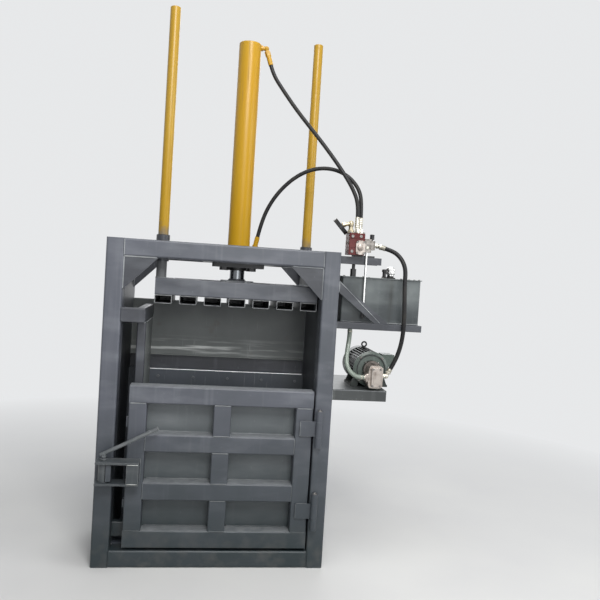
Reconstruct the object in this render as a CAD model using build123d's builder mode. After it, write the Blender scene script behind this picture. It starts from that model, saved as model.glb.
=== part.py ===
from build123d import *

import math
import os

# A vertical baling press: a welded portal frame, a platen pushed down by a cylinder, a door that
# swings on the right-hand post, and a hydraulic power unit hung on the right side.
# Frame: +X to the right of the machine, +Y from the front to the back, +Z up.
# Origin: on the floor, in the middle of the frame's footprint. Millimetres.

# Welded frame
frame_width = 1340
frame_depth = 660
frame_height = 1880
post_size = 100
post_wall = 6
post_corner = 12
gusset_leg = 190
gusset_thick = 12
gusset_setback = 8
panel_thick = 6
panel_rib = 40
panel_rib_heights = (420, 900, 1380)
floor_thick = 8

# Line of the cylinder, the platen and the guide rods
press_x = 80
press_y = -5

# Chamber
liner_thick = 6
left_wall_gap = 132
wall_post = 50
wall_post_setback = 100
stub_bottom = 1407
stub_height = 83
tie_bottom = 140
tie_height = 90
ledge_top = 1072
ledge_depth = 50
back_plate_y = 270
back_plate_bottom = 1160
back_plate_top = 1520
back_lip = 22
back_rail_depth = 44
liner_bolt_radius = 9
liner_bolt_head = 7
liner_bolt_count = 5
liner_bolt_drop = 48

# Platen at the top of its stroke
platen_width = 960
platen_depth = 420
platen_headroom = 112
platen_beam = 100
platen_wall = 5
tube_width = 100
tube_height = 50
tube_wall = 4
tube_count = 7
rod_plate_size = 194
rod_plate_thick = 8
rod_collar_radius = 54
rod_collar_thick = 6

# Cylinder and guide rods
barrel_diameter = 136
barrel_bore = 114
barrel_rise = 1222
cap_height = 32
piston_height = 70
piston_top_gap = 5
piston_grooves = (0.3, 0.7)
groove_depth = 4
groove_width = 6
rod_diameter = 90
running_clearance = 0.05
sliding_clearance = 0.1
flange_width = 314
flange_depth = 230
flange_thick = 25
gland_radius = 62
gland_thick = 12
head_plate_thick = 25
head_beam_spacing = 340
flange_bolt_offset = 83
flange_bolt_diameter = 30
hex_ratio = 1.53
guide_diameter = 60
guide_rise = 1355
sleeve_wall = 9
sleeve_above = 36
sleeve_below = 15
port_boss_diameter = 36
port_boss_length = 8
extend_port_rise = 14
retract_port_drop = 28
extend_port_reach = 32
retract_port_reach = 25

# Door
door_bottom = 115
door_top = 1050
door_left = -500
door_gap_right = 10
door_member = 100
door_skin = 6
door_back_gap = 1
door_wall = 5
door_corner = 8
door_rows = 3
lug_reach = 12
lug_front = -300
lug_depth = 25
lug_ranges = ((342, 388), (807, 864))
cap_thick = 5
hinge_radius = 20
hinge_pin_radius = 10
hinge_x = 596
hinge_standoff = 22
hinge_heights = (345, 835)
hinge_leaf_height = 88
hinge_leaf_thick = 12
hinge_leaf_reach = 109
hinge_half_height = 107
knuckle_gap = 1

# Latch on the door's free edge
latch_x = -614
latch_y = -385
latch_plate_left = -655
latch_plate_right = -418
latch_block_left = -484
latch_plate_depth = 100
latch_low_plate = 502
latch_high_plate = 622
latch_plate_thick = 12
latch_barrel_radius = 27
latch_journal_radius = 12
latch_flat = 12
latch_notch_height = 98
latch_gap = 2
keeper_nose_start = 16
keeper_nose_end = 30
keeper_nose_height = 92
keeper_nose_depth = 12
keeper_stem = 14
latch_lever_radius = 11
latch_lever_left = -632
latch_lever_right = -325
latch_lever_low = 664
latch_lever_high = 822
latch_collar = 18

# Power unit shelves
unit_front = -310
shelf_rail = 40
shelf_wall = 3
tank_shelf_drop = 408
tank_shelf_reach = 520
strut_width = 54
strut_thick = 8
strut_rise = 208
strut_run = 282
motor_shelf_drop = 401
motor_shelf_reach = 330
motor_rail_height = 60
shelf_plate = 6
shelf_back = 275

# Tank
tank_left = 703
tank_width = 486
tank_front = -245
tank_depth = 350
tank_height = 268
tank_wall = 3
lid_thick = 5
lid_lap = 8
breather_x = 1021
breather_y = -150
dipstick_x = 969
dipstick_y = -197

# Valve group
stand_height = 118
stand_reach = 261
stand_front = -256
stand_depth = 100
stand_flange = 43
stand_thick = 5
return_pipe_radius = 10
return_pipe_x = 768
return_pipe_inset = 20
return_nut_radius = 18
return_nut_height = 46
subplate_thick = 10
subplate_margin = 14
valve_left = 716
valve_width = 96
valve_front = -300
valve_depth = 110
valve_height = 128
spool_radius = 8
spool_height = 72
spool_line_inset = 28
spool_left_gap = 28
spool_head_start = 9
spool_head_length = 22
spool_head_width = 18
spool_head_height = 24
spool_slot = 12
relief_width = 73
relief_height = 55
relief_depth = 55
knob_radius = 14
knob_height = 30
knob_stem = 6
pivot_drop = 25
pivot_radius = 5
ear_thick = 8
ear_gap = 20
ear_height = 80
ear_reach = 42
lever_radius = 7
grip_above_shelf = 83
grip_radius = 12
grip_length = 58
tongue_width = 6

# Pressure gauge, tilted in the XZ plane and then turned towards the back
gauge_x = 670
gauge_y = -245
gauge_above_valve = 37
gauge_tilt = 48
gauge_yaw = 15
gauge_radius = 55
gauge_thick = 24
gauge_rim = 4
gauge_recess = 12
gauge_stem_inset = 16
gauge_stem_radius = 11
gauge_joint_radius = 16
gauge_joint_height = 60
glass_thick = 3
glass_gap = 0.3
pointer_thick = 1.5
pointer_length = 40

# Hose fittings
ferrule_wall = 2.5
nut_share = 0.36
neck_step = 3

# Motor and pump
motor_x = 925
shaft_height = 112
motor_front = -200
shield_radius = 108
shield_thick = 24
motor_length = 240
frame_core_radius = 95
fin_radius = 108
fin_count = 36
fin_thick = 4
stator_bore = 62
rotor_radius = 61
rotor_length = 150
shaft_radius = 14
rear_shield_thick = 18
cowl_length = 86
cowl_wall = 2
fan_radius = 84
fan_blades = 7
foot_width = 46
foot_thick = 14
foot_length = 170
foot_inner = 72
box_reach = 58
box_height = 76
box_length = 100
box_offset = 48
eye_y = 20
bell_radius = 55
bell_length = 35
bell_wall = 14
pump_half_width = 44
pump_length = 85
pump_shoulder = 36
pump_foot = 14
pump_cover_half = 30
pump_cover_thick = 24
pump_cover_inset = 8
pump_bolt_inset = 7
gear_teeth = 12
gear_module = 4
gear_width = 28
gear_shaft_radius = 10

# Hoses: outside diameter, length of the crimped fitting at each end, and the route by hand from seat
# to seat, where the first and last points are the places that the fittings are screwed into
pressure_hose = 24
delivery_diameter = 26
suction_diameter = 28
extend_fittings = (99, 110)
extend_laid = [
    (768, -250, 2001), (768, -250, 2172), (738, -238, 2258), (664, -212, 2376), (538, -168, 2542),
    (392, -112, 2716), (286, -63, 2866), (230, -33, 2954), (180, -5, 3116),
]
retract_fittings = (99, 105)
retract_laid = [
    (794, -222, 2001), (794, -222, 2172), (782, -208, 2264), (720, -180, 2346), (628, -152, 2392),
    (518, -122, 2392), (414, -94, 2346), (322, -64, 2262), (254, -40, 2160), (212, -22, 2050),
    (173, -5, 1852),
]
delivery_fittings = (50, 60)
delivery_laid = [
    (998, -282, 1157), (1046, -291, 1250), (1068, -308, 1334), (1075, -325, 1424), (1072, -335, 1526),
    (1065, -338, 1630), (1061, -335, 1722), (1061, -335, 1796), (1048, -326, 1843), (1024, -308, 1882),
    (990, -284, 1910), (905, -222, 1938),
]
suction_fittings = (47, 22)
suction_laid = [
    (777, -200, 1472), (777, -200, 1376), (769, -213, 1324), (759, -238, 1273), (754, -262, 1222),
    (767, -274, 1186), (793, -283, 1159), (827, -288, 1144), (881, -288, 1144),
]

# Places that follow from the driving dimensions
os.makedirs("parts", exist_ok=True)
inner_half = frame_width / 2 - post_size
post_x = frame_width / 2 - post_size / 2
post_y = frame_depth / 2 - post_size / 2
front = -frame_depth / 2
back = frame_depth / 2
front_inner = front + post_size
back_inner = back - post_size
beam_bottom = frame_height - post_size
chamber_left = -inner_half + left_wall_gap
chamber_right = inner_half
chamber_width = chamber_right - chamber_left
back_liner_y = back_plate_y - ledge_depth
wall_post_left = chamber_left - wall_post
door_right = inner_half - door_gap_right
platen_top = beam_bottom - platen_headroom
barrel_top = frame_height + barrel_rise
guide_top = frame_height + guide_rise
guide_spacing_x = (platen_width - guide_diameter) / 2
guide_spacing_y = (platen_depth - guide_diameter) / 2
tank_shelf_top = frame_height - tank_shelf_drop
motor_shelf_top = tank_shelf_top - motor_shelf_drop
strut_top = tank_shelf_top + strut_rise
lid_top = tank_shelf_top + tank_height + lid_thick
stand_left = frame_width / 2
stand_top = lid_top + stand_height
valve_right = valve_left + valve_width
valve_back = valve_front + valve_depth
valve_low = stand_top + subplate_thick
valve_high = valve_low + valve_height
spool_y = valve_front + spool_line_inset
spool_z = valve_low + spool_height
relief_right = valve_right + relief_width
relief_low = spool_z - 35
shaft_z = motor_shelf_top + shaft_height
pump_back = motor_front - bell_length
pump_front = pump_back - pump_length
pump_right = motor_x + pump_half_width
boss_end = press_x + barrel_diameter / 2 + port_boss_length

# Seats of the hose ends
extend_port = (press_x + barrel_diameter / 2 + extend_port_reach, press_y, barrel_top + extend_port_rise)
retract_port = (press_x + barrel_diameter / 2 + retract_port_reach, press_y, frame_height - retract_port_drop)
extend_valve = (valve_left + 52, valve_front + 50, valve_high)
retract_valve = (valve_left + 78, valve_front + 78, valve_high)
pump_outlet = (pump_right + 29, pump_front + 38, shaft_z - 26)
relief_inlet = (relief_right + 20, valve_back - 32, relief_low + 28)
tank_outlet = (tank_left + 74, tank_front + 45, tank_shelf_top)
pump_inlet = (motor_x - pump_half_width, pump_front + 32, shaft_z - 39)


def corner_radii(route):
    """Radius of each corner: 0.45 of the shorter run over the tangent of half the turn."""
    radii = []
    for before, corner, after in zip(route, route[1:], route[2:]):
        run_in = Vector(corner) - Vector(before)
        run_out = Vector(after) - Vector(corner)
        half_turn = math.radians(run_in.get_angle(run_out)) / 2
        radii.append(0.45 * min(run_in.length, run_out.length) / math.tan(half_turn))
    return radii


def fitted(laid, start, end):
    """Route as laid by hand, moved so that it runs from one seat to the other."""
    first_shift = Vector(start) - Vector(laid[0])
    last_shift = Vector(end) - Vector(laid[-1])
    last = len(laid) - 1
    return [
        tuple(Vector(point) + first_shift * (1 - i / last) + last_shift * (i / last)) for i, point in enumerate(laid)
    ]


def trimmed(route, fittings):
    """Route of the hose itself: the seats' route with a fitting's length cut off each end."""
    start, after_start = Vector(route[0]), Vector(route[1])
    before_end, end = Vector(route[-2]), Vector(route[-1])
    first = start + (after_start - start).normalized() * fittings[0]
    last = end + (before_end - end).normalized() * fittings[1]
    return [tuple(first), *route[1:-1], tuple(last)]


def hose_solid(route, diameter):
    """Tube of a hose: a disc swept along straight runs joined by tangent arcs."""
    radii = corner_radii(route)
    with BuildPart() as tube:
        with BuildLine() as path:
            FilletPolyline(*route, radius=radii)
        first_run = Vector(route[1]) - Vector(route[0])
        with BuildSketch(Plane(origin=route[0], z_dir=first_run)):
            Circle(diameter / 2)
        sweep(path=path.line)
    length = sum(edge.length for edge in path.edges())
    share = tube.part.volume / (math.pi * diameter**2 / 4 * length)
    print("hose", diameter, "length", round(length), "smallest radius", round(min(radii)), "volume", round(share, 4))
    return tube.part


def fitting_solid(hose_end, seat, diameter):
    """Crimped ferrule and hex nut on the line from a hose's end to its seat."""
    axis = Vector(seat) - Vector(hose_end)
    start = Plane(origin=hose_end, z_dir=axis)
    nut_length = axis.length * nut_share
    with BuildPart() as fitting:
        with BuildSketch(start):
            Circle(diameter / 2 + ferrule_wall)
        extrude(amount=axis.length - nut_length)
        with BuildSketch(start.offset(axis.length - nut_length)):
            RegularPolygon(diameter / 2 + ferrule_wall + 1, 6, major_radius=False)
        extrude(amount=nut_length)
    return fitting.part


def elbow_solid(seat, face, hose_end, ball):
    """Ball elbow: one neck along X to the face it is screwed into, one towards the hose."""
    towards_hose = Vector(hose_end) - Vector(seat)
    with BuildPart() as elbow:
        with BuildSketch(Plane(origin=seat, z_dir=(face - seat[0], 0, 0))):
            Circle(ball - neck_step)
        extrude(amount=abs(face - seat[0]))
        with BuildSketch(Plane(origin=seat, z_dir=towards_hose)):
            Circle(ball - 1.5 * neck_step)
        extrude(amount=ball + neck_step)
        with Locations(seat):
            Sphere(ball, rotation=(45, 20, 0))
    return elbow.part


def beyond_elbow(seat, hose_end, ball):
    """Point on the line from an elbow to its hose where the elbow's neck ends."""
    return Vector(seat) + (Vector(hose_end) - Vector(seat)).normalized() * (ball + neck_step)


def section_solid(plane, width, height, wall, corner, length):
    """Rectangular hollow section extruded from a plane."""
    with BuildPart() as section:
        with BuildSketch(plane):
            RectangleRounded(width, height, corner)
            RectangleRounded(width - 2 * wall, height - 2 * wall, max(corner - wall, 1), mode=Mode.SUBTRACT)
        extrude(amount=length)
    return section.part


def beam_along_x(left, right, y_low, y_high, z_low, z_high, wall, corner):
    """Hollow section from left to right that fills a Y and Z range."""
    plane = Plane(
        origin=(left, (y_low + y_high) / 2, (z_low + z_high) / 2), x_dir=(0, 1, 0), z_dir=(1, 0, 0)
    )
    return section_solid(plane, y_high - y_low, z_high - z_low, wall, corner, right - left)


def beam_along_y(y_low, y_high, left, right, z_low, z_high, wall, corner):
    """Hollow section from front to back that fills an X and Z range."""
    plane = Plane(
        origin=((left + right) / 2, y_low, (z_low + z_high) / 2), x_dir=(-1, 0, 0), z_dir=(0, 1, 0)
    )
    return section_solid(plane, right - left, z_high - z_low, wall, corner, y_high - y_low)


def block(x_low, x_high, y_low, y_high, z_low, z_high):
    """Plate or bar that fills a range in X, Y and Z."""
    with BuildPart() as plate:
        with BuildSketch(Plane.XY.offset(z_low)):
            with Locations(((x_low + x_high) / 2, (y_low + y_high) / 2)):
                Rectangle(x_high - x_low, y_high - y_low)
        extrude(amount=z_high - z_low)
    return plate.part


def group(label, *solids):
    """Separate solids of one node, written to one STEP file."""
    node = Compound(label=label, children=list(solids))
    export_step(node, f"parts/{label}.step")


def single(part, label):
    """One finished sub-part, labelled and written to its STEP file."""
    part.label = label
    export_step(part, f"parts/{label}.step")


# Four posts, closed at the top
with BuildPart() as frame_posts:
    with BuildSketch(Plane.XY):
        with GridLocations(2 * post_x, 2 * post_y, 2, 2):
            RectangleRounded(post_size, post_size, post_corner)
            RectangleRounded(
                post_size - 2 * post_wall, post_size - 2 * post_wall, post_corner - post_wall, mode=Mode.SUBTRACT
            )
    extrude(amount=frame_height)
    with BuildSketch(Plane.XY.offset(frame_height - post_wall)):
        with GridLocations(2 * post_x, 2 * post_y, 2, 2):
            Rectangle(post_size - 2 * post_wall, post_size - 2 * post_wall)
    extrude(amount=post_wall)
single(frame_posts.part, "frame_posts")

# Top and bottom beams between the posts, front and back
frame_beams = [
    beam_along_x(-inner_half, inner_half, y - post_size / 2, y + post_size / 2, z, z + post_size, post_wall, post_corner)
    for y in (-post_y, post_y)
    for z in (0, beam_bottom)
]
group("frame_beams", *frame_beams)

# Triangular plates in the top corners of both portals
with BuildPart() as corner_gussets:
    for gusset_front in (front + gusset_setback, back_inner + gusset_setback):
        with BuildSketch(Plane.XZ.offset(-gusset_front - gusset_thick)):
            for side in (-1, 1):
                with BuildLine():
                    Polyline(
                        (side * inner_half, beam_bottom),
                        (side * (inner_half - gusset_leg), beam_bottom),
                        (side * inner_half, beam_bottom - gusset_leg),
                        close=True,
                    )
                make_face()
        extrude(amount=gusset_thick)
single(corner_gussets.part, "corner_gussets")

# Base rails on the floor between the two portals
base_rails = [
    beam_along_y(front_inner, back_inner, x - post_size / 2, x + post_size / 2, 0, post_size, post_wall, post_corner)
    for x in (-post_x + post_size, 0, post_x - post_size)
]
group("base_rails", *base_rails)

# Chamber floor on the base rails
chamber_floor = block(
    -inner_half, inner_half, front_inner, back_liner_y + liner_thick, post_size, post_size + floor_thick
)
single(chamber_floor, "chamber_floor")

# Side panels flush with the inside of the posts, with ribs outside
side_parts = []
for side in (-1, 1):
    inner = side * inner_half
    outer = side * (inner_half + panel_thick)
    rib_outer = side * (inner_half + panel_thick + panel_rib)
    low_x, high_x = min(inner, outer), max(inner, outer)
    side_parts.append(block(low_x, high_x, front_inner, back_inner, post_size, beam_bottom))
    rib_low, rib_high = min(outer, rib_outer), max(outer, rib_outer)
    for height in panel_rib_heights:
        side_parts.append(
            beam_along_y(front_inner, back_inner, rib_low, rib_high, height, height + panel_rib, shelf_wall, 5)
        )
group("side_panels", *side_parts)

# Frame of the left chamber wall: stub beam, top rail, upright and bottom tie
wall_front = front + wall_post_setback
left_wall = [
    beam_along_x(
        -inner_half, chamber_left, front, front + wall_post, stub_bottom, stub_bottom + stub_height, panel_thick, 8
    ),
    beam_along_y(
        front + wall_post, back_plate_y, wall_post_left, chamber_left,
        stub_bottom, stub_bottom + stub_height, panel_thick, 8,
    ),
    section_solid(
        Plane(origin=(chamber_left - wall_post / 2, wall_front + wall_post / 2, post_size + floor_thick)),
        wall_post, wall_post, panel_thick, 8, stub_bottom - post_size - floor_thick,
    ),
    beam_along_x(
        -inner_half, wall_post_left, wall_front, wall_front + wall_post,
        tie_bottom, tie_bottom + tie_height, panel_thick, 8,
    ),
]
group("left_wall_frame", *left_wall)
left_wall_liner = block(
    chamber_left - liner_thick, chamber_left, wall_front + wall_post, back_liner_y,
    post_size + floor_thick, stub_bottom,
)
single(left_wall_liner, "left_wall_liner")

# Upper back plate with a lip folded forward along its lower edge
with BuildPart() as back_upper_plate:
    with BuildSketch(Plane.YZ.offset(-inner_half)):
        with BuildLine():
            Polyline(
                (back_plate_y - back_lip, back_plate_bottom),
                (back_plate_y + liner_thick, back_plate_bottom),
                (back_plate_y + liner_thick, back_plate_top),
                (back_plate_y, back_plate_top),
                (back_plate_y, back_plate_bottom + liner_thick),
                (back_plate_y - back_lip, back_plate_bottom + liner_thick),
                close=True,
            )
        make_face()
    extrude(amount=2 * inner_half)
    fillet(back_upper_plate.edges().filter_by(Axis.X).group_by(Axis.Z)[0].sort_by(Axis.Y)[-1], liner_thick - 1)
single(back_upper_plate.part, "back_upper_plate")

# Horizontal rails behind the chamber, from post to post
rail_front = back_liner_y + liner_thick
upper_front = back_plate_y + liner_thick
door_pitch = (door_top - door_bottom - door_member) / door_rows
rail_levels = [door_bottom + row * door_pitch for row in range(door_rows + 1)]
back_rails = [
    beam_along_x(
        -inner_half, inner_half, rail_front, rail_front + back_rail_depth, z, z + door_member, door_wall, door_corner
    )
    for z in rail_levels[:-1]
]
back_rails += [
    beam_along_x(
        -inner_half, inner_half, upper_front, upper_front + back_rail_depth, z, z + door_member, door_wall, door_corner
    )
    for z in (ledge_top - liner_thick, back_plate_top - door_member)
]
group("back_rails", *back_rails)

# Lower back liner, standing forward, with its top edge folded back as a ledge
with BuildPart() as back_liner:
    with BuildSketch(Plane.YZ.offset(-inner_half)):
        with BuildLine():
            Polyline(
                (back_liner_y, post_size + floor_thick),
                (back_liner_y + liner_thick, post_size + floor_thick),
                (back_liner_y + liner_thick, ledge_top - liner_thick),
                (back_plate_y + liner_thick, ledge_top - liner_thick),
                (back_plate_y + liner_thick, ledge_top),
                (back_liner_y, ledge_top),
                close=True,
            )
        make_face()
    extrude(amount=2 * inner_half)
single(back_liner.part, "back_liner")

# Row of bolt heads along the top of the lower liner
bolt_pitch = chamber_width / (liner_bolt_count - 0.5)
with BuildPart() as liner_bolts:
    with BuildSketch(Plane.XZ.offset(-back_liner_y)):
        with Locations(((chamber_left + chamber_right) / 2, ledge_top - liner_bolt_drop)):
            with GridLocations(bolt_pitch, 1, liner_bolt_count, 1):
                RegularPolygon(liner_bolt_radius, 6)
    extrude(amount=liner_bolt_head)

# Head frame: two beams from front to back and the plate between them
beam_left = press_x - head_beam_spacing / 2
beam_right = press_x + head_beam_spacing / 2
half_post = post_size / 2
bolt_centres = [
    (press_x + i * flange_bolt_offset, press_y + j * flange_bolt_offset) for i in (-1, 1) for j in (-1, 1)
]
with BuildPart() as head_plate:
    with BuildSketch(Plane.XY.offset(beam_bottom)):
        with Locations((press_x, press_y)):
            Rectangle(head_beam_spacing - post_size, flange_depth)
            Circle(barrel_diameter / 2 + 1, mode=Mode.SUBTRACT)
        with Locations(*bolt_centres):
            Circle(flange_bolt_diameter / 2 + 1, mode=Mode.SUBTRACT)
    extrude(amount=head_plate_thick)
head_frame = [
    beam_along_y(front_inner, back_inner, x - half_post, x + half_post, beam_bottom, frame_height, post_wall, post_corner)
    for x in (beam_left, beam_right)
]
group("head_frame", head_plate.part, *head_frame)

# Cylinder flange under the head frame, with the rod bore and its gland ring
with BuildPart() as cylinder_flange:
    with BuildSketch(Plane.XY.offset(beam_bottom - flange_thick)):
        with Locations((press_x, press_y)):
            RectangleRounded(flange_width, flange_depth, 10)
            Circle(rod_diameter / 2 + running_clearance, mode=Mode.SUBTRACT)
        with Locations(*bolt_centres):
            Circle(flange_bolt_diameter / 2 + 1, mode=Mode.SUBTRACT)
    extrude(amount=flange_thick)
    with BuildSketch(Plane.XY.offset(beam_bottom - flange_thick - gland_thick)):
        with Locations((press_x, press_y)):
            Circle(gland_radius)
            Circle(rod_diameter / 2 + running_clearance, mode=Mode.SUBTRACT)
    extrude(amount=gland_thick)
single(cylinder_flange.part, "cylinder_flange")

# Four flange bolts: head below, shank through both plates, nut above
hex_radius = flange_bolt_diameter * hex_ratio / 2
head_depth = flange_bolt_diameter * 0.63
with BuildPart() as flange_bolts:
    with BuildSketch(Plane.XY.offset(beam_bottom - flange_thick - head_depth)):
        with Locations(*bolt_centres):
            RegularPolygon(hex_radius, 6, major_radius=False)
    extrude(amount=head_depth)
    with BuildSketch(Plane.XY.offset(beam_bottom - flange_thick)):
        with Locations(*bolt_centres):
            Circle(flange_bolt_diameter / 2)
    extrude(amount=flange_thick + head_plate_thick + head_depth + 8)
    with BuildSketch(Plane.XY.offset(beam_bottom + head_plate_thick)):
        with Locations(*bolt_centres):
            RegularPolygon(hex_radius, 6, major_radius=False)
    extrude(amount=head_depth)
group("frame_bolts", liner_bolts.part, flange_bolts.part)

# Barrel with its welded cap and port bosses, and the elbows and hose ends that are painted with it
extend_route = fitted(extend_laid, extend_valve, extend_port)
retract_route = fitted(retract_laid, retract_valve, retract_port)
extend_path = trimmed(extend_route, extend_fittings)
retract_path = trimmed(retract_route, retract_fittings)
elbow_ball = pressure_hose / 2 + 4
boss_start = press_x + barrel_diameter / 2 - 6
with BuildPart() as barrel:
    with BuildSketch(Plane.XY.offset(beam_bottom)):
        with Locations((press_x, press_y)):
            Circle(barrel_diameter / 2)
    extrude(amount=barrel_top - beam_bottom + cap_height)
    fillet(barrel.edges().group_by(Axis.Z)[-1], 5)
    for seat in (extend_port, retract_port):
        with BuildSketch(Plane(origin=(boss_start, press_y, seat[2]), z_dir=(1, 0, 0))):
            Circle(port_boss_diameter / 2)
        extrude(amount=boss_end - boss_start)
    with BuildSketch(Plane.XY.offset(beam_bottom)):
        with Locations((press_x, press_y)):
            Circle(barrel_bore / 2)
    extrude(amount=barrel_top - beam_bottom, mode=Mode.SUBTRACT)
port_pieces = []
for seat, path in ((extend_port, extend_path), (retract_port, retract_path)):
    port_pieces.append(elbow_solid(seat, boss_end, path[-1], elbow_ball))
    port_pieces.append(fitting_solid(path[-1], beyond_elbow(seat, path[-1], elbow_ball), pressure_hose))
group("cylinder_barrel", barrel.part, *port_pieces)

# Rod with its grooved piston, and the plate and collar that join the rod to the platen
piston_top = barrel_top - piston_top_gap
rod_foot = platen_top + rod_plate_thick + rod_collar_thick
with BuildPart() as piston_rod:
    with BuildSketch(Plane.XY.offset(rod_foot)):
        with Locations((press_x, press_y)):
            Circle(rod_diameter / 2)
    extrude(amount=piston_top - piston_height - rod_foot)
    with BuildSketch(Plane.XY.offset(piston_top - piston_height)):
        with Locations((press_x, press_y)):
            Circle(barrel_bore / 2 - running_clearance)
    extrude(amount=piston_height)
    for share in piston_grooves:
        with BuildSketch(Plane.XY.offset(piston_top - piston_height * share)):
            with Locations((press_x, press_y)):
                Circle(barrel_bore / 2)
                Circle(barrel_bore / 2 - groove_depth, mode=Mode.SUBTRACT)
        extrude(amount=groove_width, mode=Mode.SUBTRACT)
single(piston_rod.part, "piston_rod")

with BuildPart() as rod_plate:
    with BuildSketch(Plane.XY.offset(platen_top)):
        with Locations((press_x, press_y)):
            Rectangle(rod_plate_size, rod_plate_size)
    extrude(amount=rod_plate_thick)
    with BuildSketch(Plane.XY.offset(platen_top + rod_plate_thick)):
        with Locations((press_x, press_y)):
            Circle(rod_collar_radius)
    extrude(amount=rod_collar_thick)
    chamfer(rod_plate.edges().group_by(Axis.Z)[-1], rod_collar_thick / 2)
single(rod_plate.part, "rod_plate")

# Platen: front and back beams with end caps, side and centre beams between them
platen_left = press_x - platen_width / 2
platen_right = press_x + platen_width / 2
platen_front = press_y - platen_depth / 2
platen_back = press_y + platen_depth / 2
platen_low = platen_top - platen_beam
platen_parts = []
for y_low, y_high in ((platen_front, platen_front + platen_beam), (platen_back - platen_beam, platen_back)):
    platen_parts.append(
        beam_along_x(
            platen_left + cap_thick, platen_right - cap_thick, y_low, y_high, platen_low, platen_top, platen_wall, 8
        )
    )
    platen_parts.append(block(platen_left, platen_left + cap_thick, y_low, y_high, platen_low, platen_top))
    platen_parts.append(block(platen_right - cap_thick, platen_right, y_low, y_high, platen_low, platen_top))
cross_centres = (
    platen_left + platen_beam / 2, press_x - platen_beam / 2, press_x + platen_beam / 2, platen_right - platen_beam / 2
)
for x in cross_centres:
    platen_parts.append(
        beam_along_y(
            platen_front + platen_beam, platen_back - platen_beam, x - platen_beam / 2, x + platen_beam / 2,
            platen_low, platen_top, platen_wall, 8,
        )
    )
group("platen_beams", *platen_parts)

# Rectangular tubes under the platen, open in front and closed at the back, with strap slots between
tube_pitch = (platen_width - tube_width) / (tube_count - 1)
platen_tubes = []
tube_low = platen_low - tube_height
end_inset = tube_wall / 2
for i in range(tube_count):
    left = platen_left + i * tube_pitch
    right = left + tube_width
    with BuildPart() as closed_tube:
        add(beam_along_y(platen_front, platen_back, left, right, tube_low, platen_low, tube_wall, 6))
        add(
            block(
                left + end_inset, right - end_inset, platen_back - tube_wall, platen_back,
                tube_low + end_inset, platen_low - end_inset,
            )
        )
    platen_tubes.append(closed_tube.part)
group("platen_tubes", *platen_tubes)

# Guide rods on the platen, one at the left front and one at the right back
guide_places = [
    (press_x - guide_spacing_x, press_y - guide_spacing_y),
    (press_x + guide_spacing_x, press_y + guide_spacing_y),
]
with BuildPart() as guide_rods:
    with BuildSketch(Plane.XY.offset(platen_top)):
        with Locations(*guide_places):
            Circle(guide_diameter / 2)
    extrude(amount=guide_top - platen_top)
    chamfer(guide_rods.edges().group_by(Axis.Z)[-1], 3)
single(guide_rods.part, "guide_rods")

# Guide sleeves, each on a foot welded to the inner face of a top beam
sleeve_radius = guide_diameter / 2 + sleeve_wall
with BuildPart() as guide_sleeves:
    with BuildSketch(Plane.XY.offset(beam_bottom - sleeve_below)):
        with Locations(*guide_places):
            Circle(sleeve_radius)
    extrude(amount=post_size + sleeve_below + sleeve_above)
    for (x, y), beam_face in zip(guide_places, (front_inner, back_inner)):
        with BuildSketch(Plane.XY.offset(beam_bottom)):
            with Locations((x, (y + beam_face) / 2)):
                Rectangle(sleeve_radius * 1.5, abs(y - beam_face))
        extrude(amount=post_size)
    with BuildSketch(Plane.XY.offset(beam_bottom - sleeve_below)):
        with Locations(*guide_places):
            Circle(guide_diameter / 2 + running_clearance)
    extrude(amount=post_size + sleeve_below + sleeve_above, mode=Mode.SUBTRACT)
single(guide_sleeves.part, "guide_sleeves")

# Door rails: full width at the top and bottom, between the stiles in the middle
skin_front = front_inner - door_back_gap - door_skin
door_rails = []
for level in (rail_levels[0], rail_levels[-1]):
    door_rails.append(
        beam_along_x(
            door_left + cap_thick, door_right - cap_thick, front, skin_front,
            level, level + door_member, door_wall, door_corner,
        )
    )
    door_rails.append(block(door_left, door_left + cap_thick, front, skin_front, level, level + door_member))
    door_rails.append(block(door_right - cap_thick, door_right, front, skin_front, level, level + door_member))
for level in rail_levels[1:-1]:
    door_rails.append(
        beam_along_x(
            door_left + door_member, door_right - door_member, front, skin_front,
            level, level + door_member, door_wall, door_corner,
        )
    )
group("door_rails", *door_rails)

# Door stiles: one at each edge, a short one in each row, and two lugs on the free edge
door_deep = skin_front - front
stile_y = (front + skin_front) / 2
door_middle = (door_left + door_right) / 2
door_stiles = [
    section_solid(
        Plane(origin=(x, stile_y, door_bottom + door_member)), door_member, door_deep, door_wall, door_corner,
        door_top - door_bottom - 2 * door_member,
    )
    for x in (door_left + door_member / 2, door_right - door_member / 2)
]
door_stiles += [
    section_solid(
        Plane(origin=(door_middle, stile_y, level + door_member)), door_member, door_deep, door_wall, door_corner,
        door_pitch - door_member,
    )
    for level in rail_levels[:-1]
]
door_stiles += [
    block(door_left - lug_reach, door_left, lug_front, lug_front + lug_depth, low, high) for low, high in lug_ranges
]
group("door_stiles", *door_stiles)
door_skin_plate = block(door_left, door_right, skin_front, skin_front + door_skin, door_bottom, door_top)
single(door_skin_plate, "door_skin")

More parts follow.
